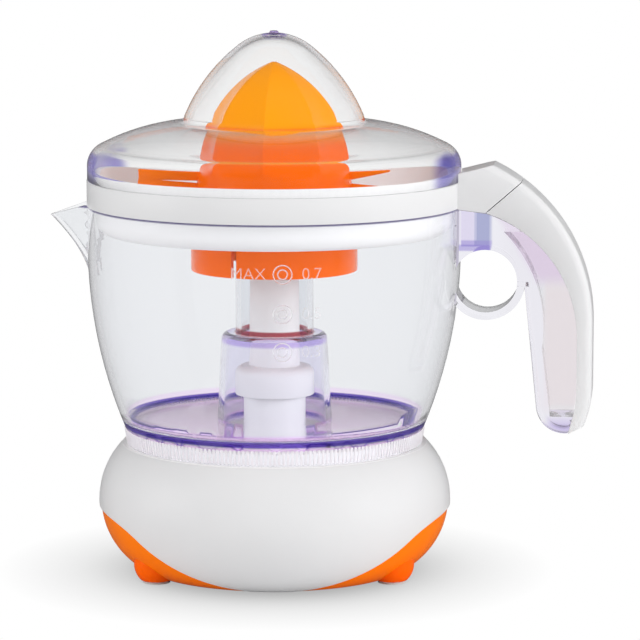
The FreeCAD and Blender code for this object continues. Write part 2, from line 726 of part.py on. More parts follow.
def idler_axle():
    """Steel pin pressed into the gear plate."""
    x, y = idler_place()
    return rod(IDLER_AXLE_R, PLATE_LOW_Z, SLOW_TOP_Z + PINION_OVERLAP + LAYER_GAP, x, y)


def output_gear():
    """Last wheel, with a hub that runs in the gear plate and drives the spindle by its flats."""
    x, y = idler_place()
    wheel = gear_disc(OUTPUT_TEETH, SLOW_MODULE, WHEEL_ADDENDUM, atan2(y, x), WHEEL_FACE)
    gear = placed(wheel, 0, 0, SLOW_LAYER_Z)
    gear = gear.fuse(rod(HUB_R, PLATE_LOW_Z - LAYER_GAP, HUB_TOP_Z))
    gear = gear.fuse(rod(HUB_SHOULDER_R, PLATE_TOP_Z + LAYER_GAP / 2, SLOW_LAYER_Z))
    return gear.cut(hexagon(DRIVE_FLATS + 2 * FLATS_GAP, PLATE_LOW_Z - 2 * LAYER_GAP, HUB_TOP_Z + PAST))


def gear_plate():
    """Plate that carries the train, the motor below it and the switch under its centre."""
    x, y = idler_place()
    plate = rod(PLATE_R, PLATE_LOW_Z, PLATE_TOP_Z)
    plate = plate.common(block(-PLATE_HALF_X, PLATE_HALF_X, PLATE_FRONT_Y, PLATE_R,
                               PLATE_LOW_Z, PLATE_TOP_Z))
    for sx, sy in motor_screw_places():
        plate = plate.fuse(rod(POST_R, STACK_TOP_Z, PLATE_LOW_Z + PLATE / 2, sx, sy))
        plate = plate.cut(rod(SCREW_R + PILOT_GAP, STACK_TOP_Z - PAST, PLATE_LOW_Z + PILOT_GAP, sx, sy))
    leg_x = SWITCH_LENGTH / 2
    leg_low = SWITCH_TOP_Z - SWITCH_HEIGHT
    for x0 in (-leg_x - SWITCH_LEG, leg_x):
        leg = block(x0, x0 + SWITCH_LEG, -SWITCH_WIDTH / 2, SWITCH_WIDTH / 2,
                    leg_low, PLATE_LOW_Z + PLATE / 2)
        plate = plate.fuse(leg)
    bores = [(HUB_R + RUNNING_GAP, 0, 0), (IDLER_AXLE_R, x, y),
             (ROTOR_BUSH_R + SOCKET_GAP, ROTOR_X, ROTOR_Y)]
    bores += [(SCREW_R + SCREW_SLACK, px, py) for px, py in PLATE_POSTS]
    for radius, bx, by in bores:
        plate = plate.cut(rod(radius, PLATE_LOW_Z - PAST, PLATE_TOP_Z + PAST, bx, by))
    return plate.cut(switch_screw_bar(SCREW_R + PILOT_GAP, SWITCH_LENGTH / 2 + SWITCH_LEG + PAST))


def switch_screw_bar(radius, half_length):
    """Round bar along X through the middle of the switch and both its legs."""
    z = SWITCH_TOP_Z - SWITCH_HEIGHT / 2
    return Part.makeCylinder(radius, 2 * half_length, V(-half_length, 0, z), V(1, 0, 0))


def switch_body():
    """Push switch housing, bored for its plunger and for the screws at its ends."""
    half_x = SWITCH_LENGTH / 2
    half_y = SWITCH_WIDTH / 2
    body = block(-half_x, half_x, -half_y, half_y, SWITCH_TOP_Z - SWITCH_HEIGHT, SWITCH_TOP_Z)
    bore_low = SWITCH_TOP_Z - PLUNGER_TAIL - PRESS_TRAVEL - PLUNGER_GAP
    body = body.cut(rod(PLUNGER_R + RUNNING_GAP, bore_low, SWITCH_TOP_Z + PAST))
    ends = switch_screw_bar(SCREW_R + PILOT_GAP, half_x + PAST)
    keep = block(-half_x / 2, half_x / 2, -half_y, half_y, SWITCH_TOP_Z - SWITCH_HEIGHT, SWITCH_TOP_Z)
    return body.cut(ends.cut(keep))


def switch_screws():
    """Two screws through the plate's legs into the ends of the switch."""
    out = SWITCH_LENGTH / 2 + SWITCH_LEG
    shank = switch_screw_bar(SCREW_R, out)
    heads = switch_screw_bar(SCREW_HEAD_R, out + SCREW_HEAD)
    middle = block(-out, out, -SWITCH_WIDTH, SWITCH_WIDTH, SWITCH_TOP_Z - 2 * SWITCH_HEIGHT, SWITCH_TOP_Z)
    inner = SWITCH_LENGTH / 4 + PILOT_GAP
    gap = block(-inner, inner, -SWITCH_WIDTH, SWITCH_WIDTH, SWITCH_TOP_Z - 2 * SWITCH_HEIGHT, SWITCH_TOP_Z)
    pair = shank.cut(gap).fuse(heads.cut(middle))
    return Part.makeCompound(pair.Solids)


def switch_plunger():
    """Button of the switch, just under the spindle's lower end."""
    return rod(PLUNGER_R, SWITCH_TOP_Z - PLUNGER_TAIL, SPINDLE_LOW_Z - PLUNGER_GAP)


def spindle_bush():
    """Flanged bush in the top of the tower that guides the spindle's neck."""
    bush = rod(BUSH_R, TOWER_Z - BUSH_LENGTH, TOWER_Z).fuse(rod(TOWER_R, TOWER_Z, TOWER_Z + BUSH_FLANGE))
    return bush.cut(rod(NECK_R + RUNNING_GAP, TOWER_Z - BUSH_LENGTH - PAST, TOWER_Z + BUSH_FLANGE + PAST))


def shaft_seal():
    """Rubber ring on the bush, under the spindle's skirt."""
    low = TOWER_Z + BUSH_FLANGE
    return tube(BUSH_R, NECK_R + SEAL_GAP, low, low + SEAL_THICK)


def spindle():
    """Drive spindle: hexagonal ends, a neck in the bush, a drip skirt and a long shaft."""
    skirt_low = SKIRT_TOP_Z - SKIRT_WALL - SKIRT_DROP
    skirt_in = SKIRT_R - SKIRT_WALL
    round_x = SKIRT_R - SKIRT_ROUND
    round_z = SKIRT_TOP_Z - SKIRT_ROUND
    body = turned((0, NECK_LOW_Z), (NECK_R, NECK_LOW_Z), (NECK_R, SKIRT_CEILING_Z),
                  (skirt_in, SKIRT_CEILING_Z), (skirt_in, skirt_low),
                  (SKIRT_R, skirt_low), (SKIRT_R, round_z),
                  corner_point(round_x, round_z, SKIRT_ROUND, 45) + (round_x, SKIRT_TOP_Z),
                  (SHAFT_R, SKIRT_TOP_Z), (SHAFT_TOP_R, SHAFT_TOP_Z), (0, SHAFT_TOP_Z))
    body = body.fuse(hexagon(DRIVE_FLATS, SPINDLE_LOW_Z, NECK_LOW_Z + PAST))
    return body.fuse(hexagon(CONE_FLATS, SHAFT_TOP_Z - PAST, SPINDLE_TOP_Z))


def tangent_arc(start, corner, end):
    """Arc between two points whose end tangents meet at corner."""
    middle = (start + end) * 0.5
    half = start.distanceToPoint(end) / 2
    bend = acos(half / start.distanceToPoint(corner))
    via = middle + (corner - middle).normalize() * (half * tan(bend / 2))
    return Part.Arc(start, via, end).toShape()


def biarc(start, leaving, end, arriving):
    """Two tangent arcs that leave one point and arrive at another along unit directions."""
    chord = end - start
    lean = chord.dot(leaving + arriving)
    spare = 2 * (1 - leaving.dot(arriving))
    reach = (sqrt(lean ** 2 + spare * chord.dot(chord)) - lean) / spare
    near = start + leaving * reach
    far = end - arriving * reach
    joint = (near + far) * 0.5
    return [tangent_arc(start, near, joint), tangent_arc(joint, far, end)]


def spring_path():
    """Centre line of the return spring, a biarc to each half turn."""
    low = HUB_TOP_Z + SPRING_WIRE_R + SOCKET_GAP
    climb = (SPRING_SPACE - 2 * SPRING_WIRE_R - 2 * SOCKET_GAP) / (2 * pi * SPRING_TURNS)
    edges = []
    for k in range(2 * SPRING_TURNS):
        points = [polar(SPRING_MEAN_R, angle, low + climb * angle) for angle in (k * pi, (k + 1) * pi)]
        ways = [V(-p.y, p.x, climb).normalize() for p in points]
        edges += biarc(points[0], ways[0], points[1], ways[1])
    return Part.Wire(edges)


def spring_gap():
    """Least gap between the return spring's turns, measured on points of its centre line."""
    points = spring_path().discretize(Number=SPRING_POINT_COUNT * SPRING_TURNS)
    apart = [a.distanceToPoint(b) for k, a in enumerate(points)
             for b in points[k + SPRING_POINT_COUNT // 2:]]
    return min(apart) - 2 * SPRING_WIRE_R


def return_spring():
    """Coil spring between the output gear's hub and the spindle's neck."""
    path = spring_path()
    first = path.OrderedEdges[0]
    ring = Part.makeCircle(SPRING_WIRE_R, first.valueAt(first.FirstParameter),
                           first.tangentAt(first.FirstParameter))
    return path.makePipeShell([Part.Wire(ring)], True, False)


def jug_reach(z, inset=0.0):
    """Radius of the jug's wall at height z, drawn in by inset."""
    if z > JUG_BEND_Z:
        return JUG_R - inset
    return bent_x(JUG_R, JUG_BEND_Z, JUG_BEND_R, z, inset)


def jug_inside():
    """Space inside the jug's wall and over its floor, with the column left out."""
    corner_z = JUG_FLOOR_Z + FLOOR_CORNER
    side = jug_reach(corner_z, JUG_WALL)
    middle = (corner_z + JUG_BEND_Z) / 2
    high = JUG_RIM_Z + LUG_TOP_Z
    return turned((0, JUG_FLOOR_Z), (side - FLOOR_CORNER, JUG_FLOOR_Z),
                  corner_point(side - FLOOR_CORNER, corner_z, FLOOR_CORNER, -45) + (side, corner_z),
                  (jug_reach(middle, JUG_WALL), middle, JUG_R - JUG_WALL, JUG_BEND_Z),
                  (JUG_R - JUG_WALL, high), (0, high))


def jug_column():
    """Hollow two-stage column that keeps the juice away from the spindle."""
    round_z = COLUMN_SHOULDER_Z - COLUMN_ROUND
    round_x = COLUMN_TOP_R - COLUMN_ROUND
    outside = turned((0, JUG_UNDER_Z), (COLUMN_FOOT_R, JUG_UNDER_Z), (COLUMN_FOOT_R, JUG_FLOOR_Z),
                     (COLUMN_TOP_R, round_z),
                     corner_point(round_x, round_z, COLUMN_ROUND, 45) + (round_x, COLUMN_SHOULDER_Z),
                     (TUBE_R, COLUMN_SHOULDER_Z), (TUBE_R, TUBE_TOP_Z), (0, TUBE_TOP_Z))
    under = JUG_UNDER_Z - PAST
    over = TUBE_TOP_Z + PAST
    step = COLUMN_SHOULDER_Z - JUG_WALL
    inside = turned((0, under), (COLUMN_FOOT_R - JUG_WALL, under), (COLUMN_TOP_R - JUG_WALL, step),
                    (TUBE_R - JUG_WALL, step), (TUBE_R - JUG_WALL, over), (0, over))
    return outside, inside


def spout_loft(inset, shares):
    """Flaring V-shaped spout, lofted through level sections and drawn in by inset."""
    wires = []
    root_x = -(JUG_R - SPOUT_ROOT_DEPTH)
    root_z = JUG_RIM_Z - SPOUT_DEPTH
    for share in shares:
        z = root_z + share * SPOUT_DEPTH
        tip = -(JUG_R + SPOUT_REACH * share ** SPOUT_FLARE) + inset
        half = SPOUT_HALF_WIDTH * share + SPOUT_TIP_R - inset * share
        nose = SPOUT_TIP_R - inset * share / 2
        near = V(tip + nose, -nose, z)
        far = V(tip + nose, nose, z)
        edges = [Part.LineSegment(V(root_x, half, z), V(root_x, -half, z)).toShape(),
                 Part.LineSegment(V(root_x, -half, z), near).toShape(),
                 Part.Arc(near, V(tip, 0, z), far).toShape(),
                 Part.LineSegment(far, V(root_x, half, z)).toShape()]
        wires.append(Part.Wire(edges))
    return Part.makeLoft(wires, True, False)


def above_lip():
    """Everything over the spout's falling lip."""
    far = SPOUT_LIP_RUN + SPOUT_REACH
    fall = SPOUT_LIP_DROP * far / SPOUT_LIP_RUN
    return prism(JUG_R, (-JUG_R, JUG_RIM_Z), (-JUG_R - far, JUG_RIM_Z - fall),
                 (-JUG_R - far, JUG_RIM_Z + far), (-JUG_R, JUG_RIM_Z + far))


def rounded_along(solid, on_curve):
    """Solid with its long side edges rounded where on_curve(x, z) holds at an edge's middle."""
    edges = []
    for edge in solid.Edges:
        middle = edge.valueAt((edge.FirstParameter + edge.LastParameter) / 2)
        at_side = all(abs(abs(v.Y) - HANDLE_HALF_DEPTH) < NEAR for v in edge.Vertexes)
        if at_side and abs(abs(middle.y) - HANDLE_HALF_DEPTH) < NEAR and on_curve(middle.x, middle.z):
            edges.append(edge)
    return solid.makeFillet(HANDLE_ROUND, edges)


def grip_seam(back=0.0):
    """Steps down the seam between the white cover and the clear handle, moved back to the jug by back."""
    side = HANDLE_OUT_X - GRIP_COVER
    arc = swell(side - SPLIT_LOW[0], SPLIT_LOW[1] - GRIP_BEND_Z)
    tail_arc = swell(side - GRIP_TAIL[0], GRIP_STRAIGHT_Z - GRIP_TAIL[1])
    upper = (SPLIT_LOW[1] + GRIP_BEND_Z) / 2
    lower = (GRIP_TAIL[1] + GRIP_STRAIGHT_Z) / 2
    return ((SPLIT_LOW[0] - back, SPLIT_LOW[1]),
            (bent_x(side, GRIP_BEND_Z, arc, upper) - back, upper, side - back, GRIP_BEND_Z),
            (side - back, GRIP_STRAIGHT_Z),
            (bent_x(side, GRIP_STRAIGHT_Z, tail_arc, lower) - back, lower,
             GRIP_TAIL[0] - back, GRIP_TAIL[1]))


def handle_spine():
    """White outer half of the handle, from the strainer's lug down to the tail of the grip cover."""
    arc = swell(HANDLE_OUT_X - LUG_TOP_X, LUG_TOP_Z - HANDLE_BEND_Z)
    tail_arc = swell(HANDLE_OUT_X - HANDLE_TAIL[0], HANDLE_STRAIGHT_Z - HANDLE_TAIL[1])
    upper = (LUG_TOP_Z + HANDLE_BEND_Z) / 2
    lower = (HANDLE_TAIL[1] + HANDLE_STRAIGHT_Z) / 2
    root = JUG_R - JUG_WALL
    spine = prism(HANDLE_HALF_DEPTH, (root, BAND_LOW_Z), *grip_seam(), HANDLE_TAIL,
                  (bent_x(HANDLE_OUT_X, HANDLE_STRAIGHT_Z, tail_arc, lower), lower, HANDLE_OUT_X,
                   HANDLE_STRAIGHT_Z),
                  (HANDLE_OUT_X, HANDLE_BEND_Z),
                  (bent_x(HANDLE_OUT_X, HANDLE_BEND_Z, arc, upper), upper, LUG_TOP_X, LUG_TOP_Z),
                  (root, LUG_TOP_Z - LUG_DIP))

    def outer(x, z):
        if z > HANDLE_BEND_Z:
            return abs(hypot(x - HANDLE_OUT_X + arc, z - HANDLE_BEND_Z) - arc) < NEAR
        return x > HANDLE_OUT_X - GRIP_COVER / 2

    return rounded_along(spine, outer)


def lug_side(gap):
    """Everything on the strainer's side of the slanted split, kept back from it by gap."""
    run = SPLIT_HIGH[0] - SPLIT_LOW[0]
    rise = SPLIT_HIGH[1] - SPLIT_LOW[1]
    length = hypot(run, rise)
    ux, uz = run / length, rise / length
    x0 = SPLIT_LOW[0] - gap * uz
    z0 = SPLIT_LOW[1] + gap * ux
    far = 2 * JUG_R
    return prism(2 * HANDLE_HALF_DEPTH, (x0 - far * ux, z0 - far * uz), (x0 + far * ux, z0 + far * uz),
                 (x0 + far * (ux - uz), z0 + far * (uz + ux)), (x0 - far * (ux + uz), z0 - far * (uz - ux)))


def handle_cover():
    """White cover on the outside of the clear handle."""
    return handle_spine().cut(lug_side(0))


def strainer_lug():
    """Lug that reaches from the strainer's band over the handle and keeps the strainer from turning."""
    lug = handle_spine().common(lug_side(SPLIT_GAP))
    lug = lug.cut(rod(LID_R + LID_LIP_GAP, BAND_TOP_Z, LUG_TOP_Z + PAST))
    lug = lug.cut(rod(JUG_R + SPLIT_GAP, BAND_LOW_Z - BAND_RISE, BAND_LOW_Z))
    return lug.cut(rod(JUG_R - JUG_WALL / 2, BAND_LOW_Z, LUG_TOP_Z + PAST))


def across_finger_ring(radius, half_depth):
    """Round bar along Y through the middle of the finger ring."""
    return Part.makeCylinder(radius, 2 * half_depth, V(FINGER_X, -half_depth, FINGER_Z), V(0, 1, 0))


def clear_handle():
    """Clear handle channel, its root on the jug's wall and the finger ring under it."""
    root = JUG_R - JUG_WALL
    lean = atan2(HANDLE_INNER_LOW[0] - HANDLE_INNER_HIGH[0], HANDLE_INNER_HIGH[1] - HANDLE_INNER_LOW[1])
    knuckle_x = HANDLE_INNER_LOW[0] + HANDLE_KNUCKLE_R * cos(lean)
    knuckle_z = HANDLE_INNER_LOW[1] + HANDLE_KNUCKLE_R * sin(lean)
    bend = corner_point(knuckle_x, knuckle_z, HANDLE_KNUCKLE_R, 225)
    tip = (knuckle_x, knuckle_z - HANDLE_KNUCKLE_R)
    seam = grip_seam(GRIP_JOINT)
    seam_top = (seam[0][0], seam[0][1] - SPLIT_GAP)
    grip = prism(HANDLE_HALF_DEPTH, (root, BAND_LOW_Z - SPLIT_GAP), seam_top, *seam[1:], tip,
                 bend + HANDLE_INNER_LOW, HANDLE_INNER_HIGH, (root, HANDLE_INNER_HIGH[1]))

    def inner(x, z):
        return x < knuckle_x and z < HANDLE_INNER_HIGH[1] - PAST

    grip = rounded_along(grip, inner)
    channel = prism(HANDLE_HALF_DEPTH - CHANNEL_WALL, CHANNEL_TOP, CHANNEL_MID + CHANNEL_LOW, CHANNEL_END,
                    (HANDLE_OUT_X + PAST, CHANNEL_END[1]), (HANDLE_OUT_X + PAST, CHANNEL_TOP[1]))
    ring = across_finger_ring(FINGER_R + FINGER_BAND, FINGER_HALF_DEPTH)
    hole = across_finger_ring(FINGER_R, 2 * HANDLE_HALF_DEPTH)
    return grip.fuse(ring).cut(hole).cut(channel)


def jug():
    """Clear jug in one moulding: wall, floor, foot ring, column, spout and handle channel."""
    ring_in = PLATFORM_R + FOOT_RING_GAP
    ring_out = jug_reach(JUG_UNDER_Z)
    middle = (JUG_UNDER_Z + JUG_BEND_Z) / 2
    outside = turned((0, JUG_LOW_Z), (ring_out - FOOT_RING_TAPER, JUG_LOW_Z), (ring_out, JUG_UNDER_Z),
                     (jug_reach(middle), middle, JUG_R, JUG_BEND_Z), (JUG_R, JUG_RIM_Z), (0, JUG_RIM_Z))
    under = rod(ring_in, JUG_LOW_Z - PAST, JUG_UNDER_Z)
    inside = jug_inside()
    column, column_bore = jug_column()
    spout = spout_loft(0, SPOUT_SECTIONS).cut(above_lip())
    spout_way = spout_loft(JUG_WALL, SPOUT_WAY_SECTIONS)
    body = outside.fuse(spout).fuse(clear_handle()).cut(inside).cut(under).cut(spout_way)
    return body.fuse(column).cut(column_bore)


def strainer():
    """Strainer: rim band on the jug, slotted bowl, collar round the cone's drum and the handle lug."""
    lip_r = LID_R - LID_WALL - LID_LIP_GAP
    bowl_in = BOWL_R - BOWL_WALL
    inner_corner = BOWL_CORNER - BOWL_WALL
    corner_z = BOWL_LOW_Z + BOWL_CORNER
    corner_x = BOWL_R - BOWL_CORNER
    collar_out = COLLAR_R + COLLAR_WALL
    lip_z = BAND_TOP_Z + LID_LIP
    body = turned((BAND_R, BAND_LOW_Z), (BAND_R, BAND_TOP_Z), (lip_r, BAND_TOP_Z), (lip_r, lip_z),
                  (bowl_in, lip_z), (bowl_in, corner_z),
                  corner_point(corner_x, corner_z, inner_corner, -45) + (corner_x, BOWL_FLOOR_Z),
                  (collar_out, BOWL_FLOOR_Z), (collar_out, BOWL_FLOOR_Z + COLLAR_RISE),
                  (COLLAR_R, BOWL_FLOOR_Z + COLLAR_RISE), (COLLAR_R, BOWL_LOW_Z), (corner_x, BOWL_LOW_Z),
                  corner_point(corner_x, corner_z, BOWL_CORNER, -45) + (BOWL_R, corner_z),
                  (BOWL_R, BAND_LOW_Z))
    body = body.fuse(strainer_lug())
    slots = []
    for k in range(SLOT_COUNT):
        slot = block(collar_out + SLOT_MARGIN, corner_x, -SLOT_WIDTH / 2, SLOT_WIDTH / 2,
                     BOWL_LOW_Z - PAST, BOWL_FLOOR_Z + PAST)
        slot.rotate(V(0, 0, 0), V(0, 0, 1), 360.0 * (k + 0.5) / SLOT_COUNT)
        slots.append(slot)
    return body.cut(slots)


def cone_reach(z, inset=0.0):
    """Radius of the cone's ridges at height z over the shoulder, drawn in by inset."""
    return bent_x(CONE_R, CONE_SHOULDER_Z, swell(CONE_R, CONE_TIP_Z - CONE_SHOULDER_Z), z) - inset


def fluted_ring(share):
    """Level section of the ridged cone at a share of its height over the shoulder."""
    z = CONE_SHOULDER_Z + share * (CONE_TIP_Z - CONE_SHOULDER_Z)
    crest = cone_reach(z)
    hollow = crest - min(FLUTE_DEPTH * sin(pi * share ** FLUTE_EARLY), crest * FLUTE_LIMIT)
    step = 2 * pi / CONE_RIDGES
    arcs = []
    for k in range(CONE_RIDGES):
        angle = RIDGE_PHASE + k * step
        arcs.append(Part.Arc(polar(crest, angle, z), polar(hollow, angle + step / 2, z),
                             polar(crest, angle + step, z)).toShape())
    return Part.Wire(arcs)


def cone():
    """Reaming cone with ridges, hollow, driven by a hexagonal sleeve; its skirt ends in a drum."""
    top = 1 - CONE_BLUNT / (CONE_TIP_Z - CONE_SHOULDER_Z)
    head = Part.makeLoft([fluted_ring(top * k / CONE_STEPS) for k in range(CONE_STEPS + 1)], True, False)
    skirt = turned((0, DRUM_LOW_Z), (DRUM_R, DRUM_LOW_Z), (DRUM_R, DRUM_TOP_Z), (CONE_R, CONE_SHOULDER_Z),
                   (0, CONE_SHOULDER_Z))
    deep = CONE_WALL + FLUTE_DEPTH
    middle = (CONE_SHOULDER_Z + CAVITY_TOP_Z) / 2
    hollow = turned((0, DRUM_LOW_Z - PAST), (DRUM_R - CONE_WALL, DRUM_LOW_Z - PAST),
                    (DRUM_R - CONE_WALL, DRUM_TOP_Z), (CONE_R - deep, CONE_SHOULDER_Z),
                    (cone_reach(middle, deep), middle, cone_reach(CAVITY_TOP_Z, deep), CAVITY_TOP_Z),
                    (0, CAVITY_TOP_Z))
    bore_flats = CONE_FLATS + 2 * FLATS_GAP
    sleeve_r = bore_flats / sqrt(3) + SLEEVE_WALL
    hollow = hollow.cut(rod(sleeve_r, SHAFT_TOP_Z + SLEEVE_LIFT, CAVITY_TOP_Z + PAST))
    for k in range(WEB_COUNT):
        web = block(0, DRUM_R, -WEB / 2, WEB / 2, DRUM_TOP_Z + WEB_RISE, CAVITY_TOP_Z + PAST)
        web.rotate(V(0, 0, 0), V(0, 0, 1), 360.0 * k / WEB_COUNT)
        hollow = hollow.cut(web)
    body = head.fuse(skirt).cut(hollow)
    body = body.cut(hexagon(bore_flats, SHAFT_TOP_Z, SPINDLE_TOP_Z + SEAT_GAP))
    notch = block(DRUM_R - 2 * CONE_WALL, DRUM_R + PAST, -NOTCH_WIDTH / 2, NOTCH_WIDTH / 2,
                  DRUM_LOW_Z - PAST, DRUM_LOW_Z + NOTCH_HEIGHT)
    notch.rotate(V(0, 0, 0), V(0, 0, 1), NOTCH_ANGLE * 180 / pi)
    return body.cut(notch)


def lid():
    """Clear domed lid that stands on the strainer's band."""
    skirt_top = (LID_R, LID_LOW_Z + LID_SKIRT)
    shoulder_at = (LID_SHOULDER_VIA_AT, LID_SHOULDER_AT, LID_CROWN_VIA_AT)
    shoulder = [(LID_R - x, LID_LOW_Z + z) for x, z in shoulder_at]
    crown = [(x, LID_LOW_Z + z) for x, z in (LID_CROWN_AT, DOME_FOOT_VIA_AT, DOME_FOOT_AT)]
    dome = [(x, DOME_TOP_Z - z) for x, z in (DOME_SIDE_VIA_AT, DOME_SIDE_AT, DOME_TOP_VIA_AT)]
    curve = [skirt_top] + shoulder + crown + dome + [(0, DOME_TOP_Z)]
    outer = [curve[k] + curve[k + 1] for k in range(1, len(curve), 2)]
    under = [inward(curve, k) for k in range(len(curve))]
    inner = [under[k] + under[k - 1] for k in range(len(under) - 2, 0, -2)]
    shell = turned((LID_R, LID_LOW_Z), skirt_top, *outer, (0, under[-1][1]), *inner,
                   (LID_R - LID_WALL, LID_LOW_Z))
    return shell.fuse(rod(NUB_R, DOME_TOP_Z - LID_WALL / 2, DOME_TOP_Z + NUB_RISE))


def inward(curve, index):
    """Point of the lid's inner face under a point of its outer curve, one wall away along the normal."""
    before = curve[max(index - 1, 0)]
    after = curve[min(index + 1, len(curve) - 1)]
    along = (after[0] - before[0], after[1] - before[1])
    if index == 0:
        along = (0, 1)
    if index == len(curve) - 1:
        along = (-1, 0)
    length = hypot(*along)
    x, z = curve[index]
    return max(x - along[1] / length * LID_WALL, 0.0), z + along[0] / length * LID_WALL


def parts():
    """Every node's name and shape."""
    near, far = STATOR_LIMBS
    lower_bush_low = STACK_LOW_Z - BRACKET
    nodes = {
        "base_shell": base_shell(),
        "bottom_cover": bottom_cover(),
        "foot_pads": foot_pads(),
        "cord_gland": cord_gland(),
        "cover_screws": cover_screws(),
        "gear_plate": gear_plate(),
        "plate_screws": plate_screws(),
        "stator_core": stator_core(),
        "bobbin_front": bobbin(near),
        "bobbin_rear": bobbin(far),
        "winding_front": winding(near),
        "winding_rear": winding(far),
        "motor_bracket": motor_bracket(),
        "motor_screws": motor_screws(),
        "lower_rotor_bush": rotor_bush(lower_bush_low, STACK_LOW_Z),
        "upper_rotor_bush": rotor_bush(PLATE_LOW_Z, PLATE_TOP_Z),
        "rotor_magnet": rotor_magnet(),
        "rotor_shaft": rotor_shaft(),
        "rotor_pinion": rotor_pinion(),
        "idler_axle": idler_axle(),
        "idler_gear": idler_gear(),
        "output_gear": output_gear(),
        "switch_body": switch_body(),
        "switch_screws": switch_screws(),
        "switch_plunger": switch_plunger(),
        "spindle_bush": spindle_bush(),
        "shaft_seal": shaft_seal(),
        "return_spring": return_spring(),
        "spindle": spindle(),
        "jug": jug(),
        "handle_cover": handle_cover(),
        "strainer": strainer(),
        "cone": cone(),
        "lid": lid(),
    }
    for name, (x, y) in foot_places().items():
        nodes[name] = foot(x, y)
    return nodes


os.makedirs("parts", exist_ok=True)
for node, shape in parts().items():
    shape.exportStep(f"parts/{node}.step")
    print(f"{node:18s} valid {shape.isValid()} solids {len(shape.Solids)} volume {shape.Volume:10.1f}")
print(f"return spring, least gap between turns {spring_gap():.2f}")
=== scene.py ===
"""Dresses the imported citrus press: clear jug and lid, white strainer and base, orange reamer and cover."""
import json
import logging
import math
from collections.abc import Callable, Iterator
from contextlib import contextmanager
from dataclasses import dataclass
from enum import Enum

import bpy
from mathutils import Matrix, Vector

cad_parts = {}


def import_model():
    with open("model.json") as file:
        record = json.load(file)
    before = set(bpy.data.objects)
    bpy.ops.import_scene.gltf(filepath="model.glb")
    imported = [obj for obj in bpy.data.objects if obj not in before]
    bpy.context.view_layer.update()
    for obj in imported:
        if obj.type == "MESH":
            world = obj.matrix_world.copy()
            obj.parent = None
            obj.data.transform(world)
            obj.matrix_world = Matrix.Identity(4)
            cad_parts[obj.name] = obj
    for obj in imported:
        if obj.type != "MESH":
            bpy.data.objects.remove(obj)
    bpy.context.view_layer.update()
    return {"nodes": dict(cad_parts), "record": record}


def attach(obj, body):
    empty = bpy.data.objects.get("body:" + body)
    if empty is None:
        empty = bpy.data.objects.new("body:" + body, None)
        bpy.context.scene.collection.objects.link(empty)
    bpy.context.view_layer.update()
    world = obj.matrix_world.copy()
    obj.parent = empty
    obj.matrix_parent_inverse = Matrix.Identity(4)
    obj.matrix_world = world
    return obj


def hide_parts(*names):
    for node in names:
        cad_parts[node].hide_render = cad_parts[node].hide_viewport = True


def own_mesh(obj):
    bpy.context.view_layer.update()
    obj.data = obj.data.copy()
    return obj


LOG = logging.getLogger("citrus_press")
Colour = tuple[float, float, float]
Point = tuple[float, float, float]
Nodes = dict[str, bpy.types.Object]
FULL_TURN = 2.0 * math.pi
# Vertices nearer to each other than this are joined.
MERGE = 2e-6
# Light that clear plastic has mirrored more often than this passes straight on through it.
MOST_REFLECTIONS = 1.5


class Body(Enum):
    """The moving bodies that a piece can ride on."""

    BASE = "base"
    JUG = "jug"
    STRAINER = "strainer"
    CONE = "cone"
    LID = "lid"
    SPINDLE = "spindle"
    OUTPUT = "output"


class Align(Enum):
    """Which end of a word stands at its place."""

    START = "LEFT"
    END = "RIGHT"


class Slot(Enum):
    """The record's material slots."""

    WHITE = "white_plastic"
    ORANGE = "orange_plastic"
    CLEAR = "clear_plastic"
    PAD = "pad_rubber"
    GLAND = "gland_rubber"
    SEAL = "seal_rubber"
    STEEL = "plated_steel"
    BRONZE = "bush_bronze"
    LAMINATION = "lamination_steel"
    FERRITE = "ferrite"
    COPPER = "copper_wire"
    BOBBIN = "bobbin_plastic"
    FRAME = "frame_plastic"
    SWITCH = "switch_plastic"
    PLUNGER = "plunger_plastic"
    GEAR = "gear_plastic"


def select_only(piece: bpy.types.Object) -> None:
    """Make one object the active and only selected one.

    Args:
        piece: The object that the next operators work on.
    """
    bpy.ops.object.select_all(action="DESELECT")
    piece.select_set(True)
    bpy.context.view_layer.objects.active = piece


@contextmanager
def editing(piece: bpy.types.Object) -> Iterator[None]:
    """Hold a piece in edit mode with all of it selected.

    Args:
        piece: The mesh object to edit.

    Yields:
        Nothing, while the piece is in edit mode.
    """
    select_only(piece)
    bpy.ops.object.mode_set(mode="EDIT")
    bpy.ops.mesh.select_all(action="SELECT")
    yield
    bpy.ops.object.mode_set(mode="OBJECT")


def pick(piece: bpy.types.Object, chosen: Callable[[bpy.types.MeshVertex], bool]) -> None:
    """Select some vertices of a piece that is in edit mode.

    Args:
        piece: The mesh object.
        chosen: The test that a vertex has to pass.
    """
    bpy.ops.mesh.select_mode(type="VERT")
    bpy.ops.mesh.select_all(action="DESELECT")
    bpy.ops.object.mode_set(mode="OBJECT")
    for vertex in piece.data.vertices:
        vertex.select = chosen(vertex)
    bpy.ops.object.mode_set(mode="EDIT")


def unit_cube() -> bpy.types.Object:
    """Add a cube of side 1 at the origin, to be brought to size in edit mode.

    Returns:
        The cube.
    """
    bpy.ops.object.select_all(action="DESELECT")
    bpy.ops.mesh.primitive_cube_add(size=1.0, location=(0.0, 0.0, 0.0))
    return bpy.context.active_object


def joined(pieces: list[bpy.types.Object], name: str) -> bpy.types.Object:
    """Join pieces into one.

    Args:
        pieces: The mesh objects.
        name: The joined piece's name.

    Returns:
        The joined piece.
    """
    bpy.ops.object.select_all(action="DESELECT")
    for piece in pieces:
        piece.select_set(True)
    bpy.context.view_layer.objects.active = pieces[0]
    bpy.ops.object.join()
    whole = bpy.context.active_object
    whole.name = name
    shade_by_angle(whole)
    return whole


